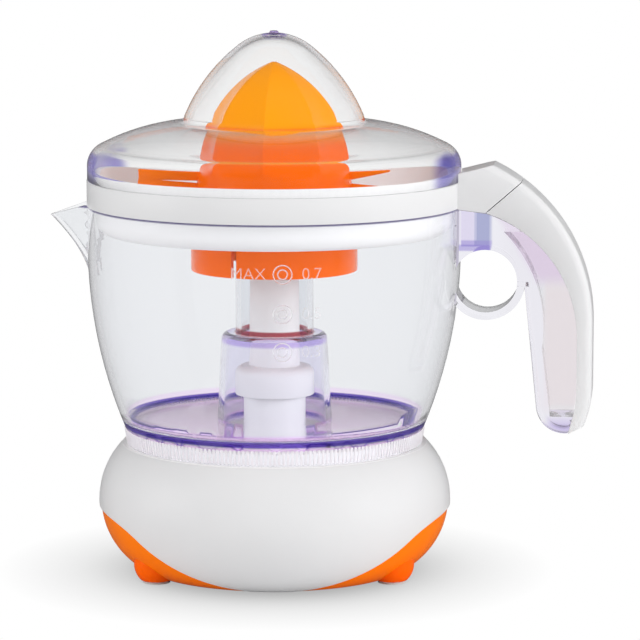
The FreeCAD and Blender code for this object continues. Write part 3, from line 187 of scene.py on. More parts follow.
def apply_modifier(piece: bpy.types.Object, kind: str, **settings: object) -> None:
    """Add a modifier with its settings and apply it.

    Args:
        piece: The mesh object.
        kind: The modifier's type, such as BEVEL.
        settings: The modifier's properties by name.
    """
    select_only(piece)
    modifier = piece.modifiers.new(kind.lower(), kind)
    for name, value in settings.items():
        setattr(modifier, name, value)
    bpy.ops.object.modifier_apply(modifier=modifier.name)


def shade_by_angle(piece: bpy.types.Object, degrees: float = 32.0) -> None:
    """Shade a piece smooth, with edges over an angle left sharp.

    Args:
        piece: The mesh object.
        degrees: The angle between faces above which an edge is sharp.
    """
    select_only(piece)
    bpy.ops.object.shade_smooth_by_angle(angle=math.radians(degrees))


class ShaderTree:
    """Short calls for building a node tree."""

    def __init__(self, tree: bpy.types.NodeTree) -> None:
        """Hold the tree.

        Args:
            tree: A material's or a group's node tree.
        """
        self.tree = tree

    def add(self, kind: str, **inputs: object) -> bpy.types.Node:
        """Add a node and set or link its inputs.

        Args:
            kind: The node's type name without the ShaderNode prefix.
            inputs: Values or output sockets by the input's name, with _ for a space.

        Returns:
            The new node.
        """
        node = self.tree.nodes.new("ShaderNode" + kind)
        for name, value in inputs.items():
            self.feed(node, name.replace("_", " "), value)
        return node

    def feed(self, node: bpy.types.Node, name: str | int, value: object) -> None:
        """Set one input, or link an output socket to it.

        Args:
            node: The node that takes the value.
            name: The input's name or number.
            value: A value, or an output socket.
        """
        socket = node.inputs[name]
        if isinstance(value, bpy.types.NodeSocket):
            self.tree.links.new(value, socket)
        else:
            socket.default_value = value

    def mix_colour(self, share: object, first: object, second: object) -> bpy.types.NodeSocket:
        """Blend two colours.

        Args:
            share: The second colour's share, a number or a socket.
            first: The colour at share 0.
            second: The colour at share 1.

        Returns:
            The blended colour's socket.
        """
        node = self.tree.nodes.new("ShaderNodeMix")
        node.data_type = "RGBA"
        for number, value in ((0, share), (6, first), (7, second)):
            self.feed(node, number, value)
        return node.outputs[2]

    def calc(self, operation: str, first: object, second: object) -> bpy.types.NodeSocket:
        """Work out one value from two.

        Args:
            operation: The Math node's operation.
            first: A number or a socket.
            second: A number or a socket.

        Returns:
            The result's socket.
        """
        node = self.add("Math")
        node.operation = operation
        self.feed(node, 0, first)
        self.feed(node, 1, second)
        return node.outputs["Value"]

    def scale(self, value: bpy.types.NodeSocket, low: float, high: float) -> bpy.types.NodeSocket:
        """Map a 0 to 1 value onto a range.

        Args:
            value: The socket that runs from 0 to 1.
            low: The result at 0.
            high: The result at 1.

        Returns:
            The mapped value's socket.
        """
        node = self.add("MapRange", Value=value, To_Min=low, To_Max=high)
        return node.outputs["Result"]


def rgba(colour: Colour) -> tuple[float, float, float, float]:
    """Give a colour its fourth number."""
    return (*colour, 1.0)


class MouldGrain:
    """The node group for a moulding's fine grain and its broad, faint unevenness."""

    NAME = "mould_grain"
    UPRIGHT = (1.0, 1.0, 0.18)

    @classmethod
    def place(cls, tree: ShaderTree, grain_scale: float, mottle_scale: float) -> bpy.types.Node:
        """Place the group in a material.

        Args:
            tree: The material's tree.
            grain_scale: The scale of the fine grain.
            mottle_scale: The scale of the mottle and the flow.

        Returns:
            The group's node.
        """
        node = tree.add("Group")
        node.node_tree = cls.group()
        tree.feed(node, "Grain Scale", grain_scale)
        tree.feed(node, "Mottle Scale", mottle_scale)
        return node

    @classmethod
    def group(cls) -> bpy.types.NodeTree:
        """Build the group once.

        Returns:
            The group with Grain, Mottle and Flow outputs, each from 0 to 1.
        """
        if cls.NAME in bpy.data.node_groups:
            return bpy.data.node_groups[cls.NAME]
        group = bpy.data.node_groups.new(cls.NAME, "ShaderNodeTree")
        for name in ("Grain Scale", "Mottle Scale"):
            group.interface.new_socket(name, in_out="INPUT", socket_type="NodeSocketFloat")
        for name in ("Grain", "Mottle", "Flow"):
            group.interface.new_socket(name, in_out="OUTPUT", socket_type="NodeSocketFloat")
        tree = ShaderTree(group)
        given = group.nodes.new("NodeGroupInput")
        result = group.nodes.new("NodeGroupOutput")
        place = tree.add("TexCoord").outputs["Object"]
        grain = tree.add("TexNoise", Vector=place, Scale=given.outputs["Grain Scale"],
                         Detail=3.0, Roughness=0.6)
        mottle = tree.add("TexNoise", Vector=place, Scale=given.outputs["Mottle Scale"], Detail=4.0)
        stretched = tree.add("Mapping", Vector=place, Scale=cls.UPRIGHT)
        flow = tree.add("TexNoise", Vector=stretched.outputs["Vector"], Scale=given.outputs["Mottle Scale"],
                        Detail=2.0, Distortion=0.6)
        tree.feed(result, "Grain", grain.outputs["Fac"])
        tree.feed(result, "Mottle", mottle.outputs["Fac"])
        tree.feed(result, "Flow", flow.outputs["Fac"])
        return group


class Measure(Enum):
    """What a tint's limit is measured along: a direction, or the radius round the press's axis."""

    ACROSS = (1.0, 0.0, 0.0)
    HEIGHT = (0.0, 0.0, 1.0)
    CHANNEL = (0.85, 0.0, 0.527)
    RADIUS = (0.0, 0.0, 0.0)


@dataclass(frozen=True)
class Limit:
    """One measure along which a tint comes in, from where it starts to where it is full."""

    measure: Measure
    start: float
    full: float


@dataclass(frozen=True)
class Tint:
    """A place where a moulding has another colour, as where clear plastic is thick or seen edge on, or where
    light or shade is painted into the colour.
    """

    colour: Colour
    limits: tuple[Limit, ...]
    frost: float = 0.0


def new_material(name: str) -> bpy.types.Material:
    """Start a material with nodes.

    Args:
        name: The material's name.

    Returns:
        The material with its shader and output.
    """
    material = bpy.data.materials.new(name)
    material.use_nodes = True
    return material


def measured(tree: ShaderTree, place: bpy.types.NodeSocket, measure: Measure) -> bpy.types.NodeSocket:
    """Measure a point of the surface.

    Args:
        tree: The material's tree.
        place: The point's Object coordinates.
        measure: What to measure.

    Returns:
        The measured length's socket.
    """
    node = tree.add("VectorMath", Vector=place)
    if measure is Measure.RADIUS:
        flat = tree.add("Mapping", Vector=place, Scale=(1.0, 1.0, 0.0))
        tree.feed(node, 0, flat.outputs["Vector"])
        node.operation = "LENGTH"
    else:
        node.operation = "DOT_PRODUCT"
        tree.feed(node, 1, measure.value)
    return node.outputs["Value"]


def tint_share(tree: ShaderTree, tint: Tint) -> object:
    """Work out how far a tint has come in at each point.

    Args:
        tree: The material's tree.
        tint: The tint with its limits.

    Returns:
        The tint's share, from 0 to 1.
    """
    place = tree.add("TexCoord").outputs["Object"]
    share: object = 1.0
    for limit in tint.limits:
        value = measured(tree, place, limit.measure)
        ramp = tree.add("MapRange", Value=value, From_Min=limit.start, From_Max=limit.full)
        ramp.interpolation_type = "SMOOTHSTEP"
        share = tree.calc("MULTIPLY", share, ramp.outputs["Result"])
    return share


@dataclass(frozen=True)
class Moulded:
    """An opaque moulded or plated finish with grain, mottle and an even gloss."""

    name: str
    colour: Colour
    second: Colour
    gloss: tuple[float, float] = (0.26, 0.34)
    metallic: float = 0.0
    grain_scale: float = 2600.0
    mottle_scale: float = 45.0
    bump: float = 0.12
    depth: float = 2e-5
    specular: float = 0.5
    tints: tuple[Tint, ...] = ()

    def material(self) -> bpy.types.Material:
        """Build the material once.

        Returns:
            The material with its procedural nodes.
        """
        if self.name in bpy.data.materials:
            return bpy.data.materials[self.name]
        material = new_material(self.name)
        tree = ShaderTree(material.node_tree)
        shader = material.node_tree.nodes["Principled BSDF"]
        grain = MouldGrain.place(tree, self.grain_scale, self.mottle_scale)
        colour = tree.mix_colour(grain.outputs["Mottle"], rgba(self.colour), rgba(self.second))
        for tint in self.tints:
            colour = tree.mix_colour(tint_share(tree, tint), colour, rgba(tint.colour))
        tree.feed(shader, "Base Color", colour)
        tree.feed(shader, "Roughness", tree.scale(grain.outputs["Flow"], *self.gloss))
        bump = tree.add("Bump", Strength=self.bump, Distance=self.depth, Height=grain.outputs["Grain"])
        tree.feed(shader, "Normal", bump.outputs["Normal"])
        tree.feed(shader, "Metallic", self.metallic)
        tree.feed(shader, "Specular IOR Level", self.specular)
        return material


@dataclass(frozen=True)
class ClearStyrene:
    """Clear moulded styrene, faintly stained, whose thick places turn violet."""

    name: str
    colour: Colour
    roughness: tuple[float, float] = (0.008, 0.03)
    transmission: float = 1.0
    ior: float = 1.52
    shine: Colour = (0.35, 0.35, 0.35)
    stain: Colour = (0.333, 0.167, 0.7)
    density: float = 5.0
    grain_scale: float = 900.0
    mottle_scale: float = 38.0
    tints: tuple[Tint, ...] = ()

    def tinted(self, tree: ShaderTree,
               roughness: bpy.types.NodeSocket) -> tuple[object, bpy.types.NodeSocket]:
        """Lay the tints over the plain surface.

        Args:
            tree: The material's tree.
            roughness: The plain surface's roughness.

        Returns:
            The colour and the roughness of the tinted surface.
        """
        colour: object = rgba(self.colour)
        for tint in self.tints:
            share = tint_share(tree, tint)
            colour = tree.mix_colour(share, colour, rgba(tint.colour))
            if tint.frost > 0.0:
                roughness = tree.calc("ADD", roughness, tree.calc("MULTIPLY", share, tint.frost))
        return colour, roughness

    def material(self) -> bpy.types.Material:
        """Build the material once.

        Returns:
            The glass-like material with its stained body.
        """
        if self.name in bpy.data.materials:
            return bpy.data.materials[self.name]
        material = new_material(self.name)
        tree = ShaderTree(material.node_tree)
        shader = material.node_tree.nodes["Principled BSDF"]
        output = material.node_tree.nodes["Material Output"]
        grain = MouldGrain.place(tree, self.grain_scale, self.mottle_scale)
        colour, roughness = self.tinted(tree, tree.scale(grain.outputs["Flow"], *self.roughness))
        tree.feed(shader, "Base Color", colour)
        tree.feed(shader, "Roughness", roughness)
        tree.feed(shader, "Transmission Weight", self.transmission)
        tree.feed(shader, "IOR", self.ior)
        tree.feed(shader, "Specular Tint", rgba(self.shine))
        clear = tree.add("BsdfTransparent")
        light = tree.add("LightPath")
        passing = tree.calc("MAXIMUM", light.outputs["Is Shadow Ray"], light.outputs["Is Diffuse Ray"])
        caught = tree.calc("GREATER_THAN", light.outputs["Glossy Depth"], MOST_REFLECTIONS)
        passing = tree.calc("MAXIMUM", passing, caught)
        mix = tree.add("MixShader", Fac=passing)
        tree.feed(mix, 1, shader.outputs["BSDF"])
        tree.feed(mix, 2, clear.outputs["BSDF"])
        tree.feed(output, "Surface", mix.outputs["Shader"])
        body = tree.add("VolumeAbsorption", Color=rgba(self.stain), Density=self.density)
        tree.feed(output, "Volume", body.outputs["Volume"])
        return material


FLOOR_Z = 0.05695
FLOOR_UNDER_Z = 0.05455
FLOOR_EDGE_R = 0.0535
FLOOR_SIDE_R = 0.0560
SHOULDER_Z = 0.0900
SHOULDER_R = (0.0168, 0.0176)
COLUMN_R = (0.0226, 0.0219)
TUBE_FOOT_R = 0.0148
RIM_Z = 0.13785
RIM_R = (0.0655, 0.0662)
ROOT_LOW_Z = 0.1232
ROOT_X = (0.0695, 0.0752, 0.0809)
HANDLE_X = 0.0850
HANDLE_END_X = (0.0985, 0.1010)
HANDLE_END_Z = (0.0600, 0.0570)
CHANNEL_X = 0.1008
CHANNEL_MID_Z = 0.1095
CHANNEL_LOW_Z = (0.0615, 0.0635)
CHANNEL_BACK = (0.1405, 0.1430)
JUG_TINTS = (
    # The floor, with a trace of frost.
    Tint((0.93, 0.70, 1.0), (Limit(Measure.HEIGHT, FLOOR_Z + 0.0042, FLOOR_Z + 0.0026),
                             Limit(Measure.HEIGHT, FLOOR_UNDER_Z - 0.0008, FLOOR_UNDER_Z - 0.0002),
                             Limit(Measure.RADIUS, FLOOR_SIDE_R + 0.0004, FLOOR_SIDE_R)), frost=0.1),
    # The column's wide lower stage, its shoulder, and the line at the tube's foot.
    Tint((0.92, 0.91, 0.975), (Limit(Measure.HEIGHT, SHOULDER_Z + 0.002, SHOULDER_Z - 0.001),
                               Limit(Measure.HEIGHT, FLOOR_Z + 0.0005, FLOOR_Z + 0.0012),
                               Limit(Measure.RADIUS, *COLUMN_R))),
    Tint((0.62, 0.52, 0.90), (Limit(Measure.HEIGHT, SHOULDER_Z - 0.0042, SHOULDER_Z - 0.0030),
                              Limit(Measure.HEIGHT, SHOULDER_Z + 0.0008, SHOULDER_Z + 0.0003),
                              Limit(Measure.RADIUS, *SHOULDER_R), Limit(Measure.RADIUS, *COLUMN_R))),
    Tint((0.42, 0.08, 0.10), (Limit(Measure.HEIGHT, SHOULDER_Z - 0.0006, SHOULDER_Z - 0.0002),
                              Limit(Measure.HEIGHT, SHOULDER_Z + 0.0018, SHOULDER_Z + 0.0012),
                              Limit(Measure.RADIUS, TUBE_FOOT_R + 0.0006, TUBE_FOOT_R))),
    # The floor's outer edge, then the rim.
    Tint((0.03, 0.015, 0.27), (Limit(Measure.HEIGHT, FLOOR_Z - 0.0020, FLOOR_Z - 0.0012),
                               Limit(Measure.HEIGHT, FLOOR_Z + 0.0012, FLOOR_Z + 0.0006),
                               Limit(Measure.RADIUS, FLOOR_EDGE_R - 0.0014, FLOOR_EDGE_R - 0.0004))),
    # The rim's dark line is partly its violet edge seen edge on and partly a painted shadow of the gap under
    # the strainer's band.
    Tint((0.22, 0.20, 0.34), (Limit(Measure.HEIGHT, RIM_Z - 0.0010, RIM_Z - 0.0005),
                              Limit(Measure.RADIUS, *RIM_R))),
    # The handle, then the front, the back and the underside of its root.
    Tint((0.90, 0.905, 0.915), (Limit(Measure.ACROSS, HANDLE_X - 0.003, HANDLE_X + 0.003),)),
    Tint((0.80, 0.77, 0.90), (Limit(Measure.HEIGHT, ROOT_LOW_Z - 0.0005, ROOT_LOW_Z + 0.0005),
                              Limit(Measure.ACROSS, ROOT_X[0] - 0.0002, ROOT_X[0] + 0.0002),
                              Limit(Measure.ACROSS, ROOT_X[1] + 0.0002, ROOT_X[1] - 0.0002))),
    Tint((0.45, 0.48, 0.68), (Limit(Measure.HEIGHT, ROOT_LOW_Z - 0.0005, ROOT_LOW_Z + 0.0005),
                              Limit(Measure.ACROSS, ROOT_X[1] - 0.0002, ROOT_X[1] + 0.0002),
                              Limit(Measure.ACROSS, ROOT_X[2] + 0.0005, ROOT_X[2] - 0.0005))),
    Tint((0.35, 0.30, 0.68), (Limit(Measure.HEIGHT, ROOT_LOW_Z - 0.0012, ROOT_LOW_Z - 0.0004),
                              Limit(Measure.HEIGHT, ROOT_LOW_Z + 0.0020, ROOT_LOW_Z + 0.0010),
                              Limit(Measure.ACROSS, ROOT_X[0] - 0.0002, ROOT_X[0] + 0.0002),
                              Limit(Measure.ACROSS, ROOT_X[2] + 0.0005, ROOT_X[2] - 0.0005))),
    # The handle's channel, its upper and its lower part, whose pink is a painted reflection, the upper part
    # darker and more violet as painted shade; then the handle's end.
    Tint((0.86, 0.80, 0.88), (Limit(Measure.CHANNEL, *CHANNEL_BACK),
                              Limit(Measure.HEIGHT, CHANNEL_MID_Z - 0.003, CHANNEL_MID_Z + 0.003))),
    Tint((0.90, 0.87, 0.88), (Limit(Measure.ACROSS, CHANNEL_X - 0.0010, CHANNEL_X + 0.0010),
                              Limit(Measure.HEIGHT, *CHANNEL_LOW_Z),
                              Limit(Measure.HEIGHT, CHANNEL_MID_Z + 0.003, CHANNEL_MID_Z - 0.003))),
    Tint((0.66, 0.60, 0.84), (Limit(Measure.HEIGHT, *HANDLE_END_Z), Limit(Measure.ACROSS, *HANDLE_END_X))),
)
LID_TOP_Z = 0.2023
LID_TOP_R = (0.0056, 0.0044)
LID_END_X = (0.0600, 0.0640)
LID_END_Z = (0.1590, 0.1570)
LID_END = (0.30, 0.27, 0.62)
LID_TINTS = (
    # The sprue mark on top, then the right and the left end.
    Tint((0.28, 0.22, 0.60), (Limit(Measure.RADIUS, *LID_TOP_R),
                              Limit(Measure.HEIGHT, LID_TOP_Z - 0.0034, LID_TOP_Z - 0.0022))),
    Tint(LID_END, (Limit(Measure.ACROSS, *LID_END_X), Limit(Measure.HEIGHT, *LID_END_Z))),
    Tint(LID_END, (Limit(Measure.ACROSS, -LID_END_X[0], -LID_END_X[1]), Limit(Measure.HEIGHT, *LID_END_Z))),
)
PAINTED_LIGHT_PLATFORM_Z = (0.0481, 0.0487)
BOWL_OUTER_R = (0.0672, 0.0668)
REAMER_SHADE_Z = (0.168, 0.160)
WHITE = Moulded("white_moulding", (0.72, 0.72, 0.725), (0.69, 0.69, 0.70), specular=0.4)
# A lighter copy of the white moulding, painted light: it stands in for light on white parts that lie in
# shade inside the jug and the bowl.
PAINTED_LIGHT_WHITE = Moulded("bright_moulding", (0.93, 0.93, 0.935), (0.90, 0.90, 0.91), specular=0.3)
# The base is painted lighter from its platform up, painted light against the shade under the jug and
# strainer.
BASE_WHITE = Moulded("base_moulding", WHITE.colour, WHITE.second, specular=0.4,
                     tints=(Tint(PAINTED_LIGHT_WHITE.colour, (Limit(Measure.HEIGHT, *PAINTED_LIGHT_PLATFORM_Z),)),))
# The strainer is painted lighter inside its bowl, painted light against the shade under the lid and reamer;
# its outer band keeps the plain white.
STRAINER_WHITE = Moulded("strainer_moulding", WHITE.colour, WHITE.second, specular=0.4,
                         tints=(Tint(PAINTED_LIGHT_WHITE.colour, (Limit(Measure.RADIUS, *BOWL_OUTER_R),)),))
ORANGE = Moulded("orange_moulding", (1.0, 0.215, 0.0), (0.97, 0.185, 0.0), gloss=(0.22, 0.3), specular=0.12)
# The reamer's orange is painted yellower as painted light, and a deeper orange towards its foot as painted
# shade.
REAMER = Moulded("reamer_moulding", (1.0, 0.36, 0.004), (0.99, 0.33, 0.002), gloss=(0.16, 0.24),
                 specular=0.2, tints=(Tint((1.0, 0.145, 0.0), (Limit(Measure.HEIGHT, *REAMER_SHADE_Z),)),))
# A deeper, redder copy of the orange moulding for the feet: painted shade for their place low by the floor.
FOOT = Moulded("foot_moulding", (0.97, 0.14, 0.0), (0.94, 0.12, 0.0), gloss=(0.22, 0.3), specular=0.12)
JUG_CLEAR = ClearStyrene("jug_styrene", colour=(0.925, 0.935, 0.945), tints=JUG_TINTS)
LID_CLEAR = ClearStyrene("lid_styrene", colour=(0.965, 0.97, 0.965), shine=(0.2, 0.2, 0.2), tints=LID_TINTS)
FROSTED = ClearStyrene("frosted_styrene", colour=(0.90, 0.875, 0.905), roughness=(0.3, 0.4),
                       transmission=0.5, density=1.0)
MARKING = ClearStyrene("marking_styrene", colour=(0.97, 0.965, 0.975), roughness=(0.12, 0.2),
                       transmission=0.85, density=1.0)
Finish = Moulded | ClearStyrene
FINISHES: dict[Slot, Finish] = {
    Slot.WHITE: WHITE,
    Slot.ORANGE: ORANGE,
    Slot.CLEAR: JUG_CLEAR,
    Slot.PAD: Moulded("pad_rubber_finish", (0.62, 0.62, 0.61), (0.56, 0.56, 0.55), gloss=(0.6, 0.75)),
    Slot.GLAND: Moulded("gland_rubber_finish", (0.70, 0.70, 0.70), (0.64, 0.64, 0.64), gloss=(0.5, 0.65)),
    Slot.SEAL: Moulded("seal_rubber_finish", (0.04, 0.04, 0.042), (0.028, 0.028, 0.03), gloss=(0.5, 0.6)),
    Slot.STEEL: Moulded("plated_steel_finish", (0.62, 0.63, 0.64), (0.50, 0.51, 0.53), gloss=(0.22, 0.36),
                        metallic=1.0),
    Slot.BRONZE: Moulded("bush_bronze_finish", (0.55, 0.34, 0.15), (0.45, 0.27, 0.11), gloss=(0.35, 0.5),
                         metallic=1.0, grain_scale=5200.0, bump=0.3),
    Slot.LAMINATION: Moulded("lamination_finish", (0.33, 0.33, 0.34), (0.24, 0.24, 0.25), gloss=(0.4, 0.55),
                             metallic=1.0),
    Slot.FERRITE: Moulded("ferrite_finish", (0.055, 0.053, 0.052), (0.035, 0.034, 0.034), gloss=(0.5, 0.7),
                          grain_scale=4000.0, bump=0.3),
    Slot.COPPER: Moulded("copper_finish", (0.62, 0.24, 0.11), (0.50, 0.17, 0.07), gloss=(0.25, 0.4),
                         metallic=1.0),
    Slot.BOBBIN: Moulded("bobbin_finish", (0.74, 0.72, 0.62), (0.68, 0.66, 0.56), gloss=(0.4, 0.5)),
    Slot.FRAME: Moulded("frame_finish", (0.10, 0.10, 0.105), (0.075, 0.075, 0.08), gloss=(0.42, 0.55)),
    Slot.SWITCH: Moulded("switch_finish", (0.045, 0.045, 0.048), (0.03, 0.03, 0.032), gloss=(0.35, 0.5)),
    Slot.PLUNGER: Moulded("plunger_finish", (0.60, 0.055, 0.04), (0.52, 0.04, 0.03), gloss=(0.3, 0.4)),
    Slot.GEAR: Moulded("gear_finish", (0.80, 0.78, 0.70), (0.74, 0.72, 0.64), gloss=(0.3, 0.42)),
}


def dress(piece: bpy.types.Object, finish: Finish) -> None:
    """Give a piece one finish all over.

    Args:
        piece: The mesh object.
        finish: The finish that it takes.
    """
    piece.data.materials.clear()
    piece.data.materials.append(finish.material())


def settle(piece: bpy.types.Object, body: Body, slot: Slot, finish: Finish, *nodes: str) -> None:
    """Dress a finished piece, tie it to its body and hide the nodes that it stands for.

    Args:
        piece: The finished mesh object.
        body: The body that it rides on.
        slot: The record's slot for its finish; not used.
        finish: The finish itself.
        nodes: The CAD nodes that it replaces.
    """
    dress(piece, finish)
    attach(piece, body.value)
    if nodes:
        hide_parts(*nodes)
    LOG.info("%s rides on %s", piece.name, body.value)


@dataclass
class RoundedMoulding:
    """A moulding that keeps its node's shape and gets its edges rounded."""

    node: str
    body: Body
    slot: Slot
    finish: Finish
    edge: float = 0.0004
    steps: int = 2
    angle: float = 30.0

    def merged_copy(self, nodes: Nodes) -> bpy.types.Object:
        """Copy the node's mesh and join its loose triangles.

        Args:
            nodes: The frame's nodes by name.

        Returns:
            The copy, at the origin as its node is.
        """
        piece = bpy.data.objects.new(self.node + "_moulding", nodes[self.node].data.copy())
        bpy.context.scene.collection.objects.link(piece)
        with editing(piece):
            bpy.ops.mesh.remove_doubles(threshold=MERGE)
            if self.edge > 0.0:
                bpy.ops.mesh.customdata_custom_splitnormals_clear()
        return piece

    def build(self, nodes: Nodes) -> bpy.types.Object:
        """Copy the node and round its edges.

        Args:
            nodes: The frame's nodes by name.

        Returns:
            The finished piece.
        """
        piece = self.merged_copy(nodes)
        if self.edge > 0.0:
            apply_modifier(piece, "BEVEL", width=self.edge, segments=self.steps, limit_method="ANGLE",
                           angle_limit=math.radians(self.angle))
            shade_by_angle(piece)
        settle(piece, self.body, self.slot, self.finish, self.node)
        return piece


@dataclass
class SpunMoulding(RoundedMoulding):
    """A round moulding, spun again from its node's own section with softened corners."""

    turns: int = 160

    def build(self, nodes: Nodes) -> bpy.types.Object:
        """Cut the node's section, soften its corners and spin it.

        Args:
            nodes: The frame's nodes by name.

        Returns:
            The finished piece.
        """
        piece = self.merged_copy(nodes)
        with editing(piece):
            bpy.ops.mesh.bisect(plane_co=(0.0, 0.0, 0.0), plane_no=(0.0, 1.0, 0.0), clear_inner=True,
                                clear_outer=True)
            bpy.ops.mesh.select_all(action="SELECT")
            bpy.ops.mesh.bisect(plane_co=(0.0, 0.0, 0.0), plane_no=(1.0, 0.0, 0.0), clear_inner=True)
            bpy.ops.mesh.select_all(action="SELECT")
            bpy.ops.mesh.remove_doubles(threshold=MERGE)
        self.soften(piece)
        with editing(piece):
            bpy.ops.mesh.spin(steps=self.turns, angle=FULL_TURN, center=(0.0, 0.0, 0.0),
                              axis=(0.0, 0.0, 1.0))
            bpy.ops.mesh.select_all(action="SELECT")
            bpy.ops.mesh.remove_doubles(threshold=MERGE)
            bpy.ops.mesh.normals_make_consistent(inside=False)
        shade_by_angle(piece)
        settle(piece, self.body, self.slot, self.finish, self.node)
        return piece

    def soften(self, piece: bpy.types.Object) -> None:
        """Round the section's corners.

        Args:
            piece: The section, a chain of edges.
        """
        mesh = piece.data
        beside: dict[int, list[int]] = {}
        for edge in mesh.edges:
            first, second = edge.vertices
            beside.setdefault(first, []).append(second)
            beside.setdefault(second, []).append(first)
        corners = set()
        for index, others in beside.items():
            if len(others) == 2:
                here = mesh.vertices[index].co
                ways = [(mesh.vertices[other].co - here) for other in others]
                if math.pi - ways[0].angle(ways[1]) > math.radians(self.angle):
                    corners.add(index)
        with editing(piece):
            pick(piece, lambda vertex: vertex.index in corners)
            bpy.ops.mesh.bevel(affect="VERTICES", offset=self.edge, segments=self.steps)


@dataclass
class PressedSpring(RoundedMoulding):
    """The return spring, copied from its node with a mesh of its own; the real spring shortens towards its
    foot as the spindle is pressed down.
    """

    joint: str = "spindle_press"
    foot: float = 0.0493
    pressed: float = 0.66

    def build(self, nodes: Nodes) -> bpy.types.Object:
        """Copy the node and give the copy a mesh of its own.

        Args:
            nodes: The frame's nodes by name.

        Returns:
            The finished spring.
        """
        piece = super().build(nodes)
        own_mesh(piece)
        return piece


@dataclass
class KnurlBand:
    """The fine upright ribs round the jug's foot."""

    count: int = 216
    radius_low: float = 0.05515
    radius_high: float = 0.05595
    low: float = 0.0488
    high: float = 0.0544
    proud: float = 0.00035
    width: float = 0.0009
    sunk: float = 0.0004
    edge: float = 0.00022

    def build(self) -> bpy.types.Object:
        """Model one leaning rib and spin copies of it round the foot.

        Returns:
            The finished band.
        """
        rib = unit_cube()
        rib.name = "jug_foot_knurl"
        middle_r = (self.radius_low + self.radius_high) / 2.0
        middle_z = (self.low + self.high) / 2.0
        lean = (self.radius_high - self.radius_low) / 2.0
        with editing(rib):
            bpy.ops.transform.resize(value=(self.proud + self.sunk, self.width, self.high - self.low))
            bpy.ops.transform.translate(value=(middle_r + (self.proud - self.sunk) / 2.0, 0.0, middle_z))
            pick(rib, lambda vertex: vertex.co.z > middle_z)
            bpy.ops.transform.translate(value=(lean, 0.0, 0.0))
            bpy.ops.mesh.select_all(action="INVERT")
            bpy.ops.transform.translate(value=(-lean, 0.0, 0.0))
            bpy.ops.mesh.select_all(action="SELECT")
            bpy.ops.mesh.bevel(offset=self.edge, segments=2)
            bpy.ops.mesh.select_all(action="SELECT")
            bpy.ops.mesh.spin(steps=self.count, angle=FULL_TURN, dupli=True, center=(0.0, 0.0, 0.0),
                              axis=(0.0, 0.0, 1.0))
            bpy.ops.mesh.select_all(action="SELECT")
            bpy.ops.mesh.remove_doubles(threshold=MERGE)
        shade_by_angle(rib)
        settle(rib, Body.JUG, Slot.CLEAR, FROSTED)
        return rib


@dataclass
class SweepArms:
    """The two short arms at the reamer's foot that sweep the pulp round the bowl."""

    turn: float = 6.0
    inner: float = 0.0270
    reaches: tuple[float, float] = (0.0430, 0.0505)
    low: float = 0.1464
    high: float = 0.1522
    point: float = 0.0012
    thick: float = 0.0030
    edge: float = 0.0010

    def build(self) -> bpy.types.Object:
        """Model both arms and join them.

        Returns:
            The finished arms.
        """
        arms = joined([self.arm(number) for number in range(len(self.reaches))], "reamer_sweep_arms")
        settle(arms, Body.CONE, Slot.ORANGE, ORANGE)
        return arms

    def arm(self, number: int) -> bpy.types.Object:
        """Model one arm, the first of them drawn out to a point.

        Args:
            number: The arm's place in reaches; the second points the other way.

        Returns:
            The arm.
        """
        arm = unit_cube()
        reach = self.reaches[number]
        middle_r = (reach + self.inner) / 2.0
        middle_z = (self.low + self.high) / 2.0
        turn = math.radians(self.turn) + math.pi * number
        with editing(arm):
            bpy.ops.transform.resize(value=(reach - self.inner, self.thick, self.high - self.low))
            bpy.ops.transform.translate(value=(middle_r, 0.0, middle_z))
            if number == 0:
                pick(arm, lambda vertex: vertex.co.x > middle_r and vertex.co.z < middle_z)
                bpy.ops.transform.translate(value=(0.0, 0.0, self.high - self.point - self.low))
                bpy.ops.mesh.select_all(action="SELECT")
            bpy.ops.mesh.bevel(offset=min(self.edge, self.point / 2.0), segments=3)
            bpy.ops.mesh.select_all(action="SELECT")
            # With no window the operator turns clockwise.
            bpy.ops.transform.rotate(value=-turn, orient_axis="Z", center_override=(0.0, 0.0, 0.0))
        return arm


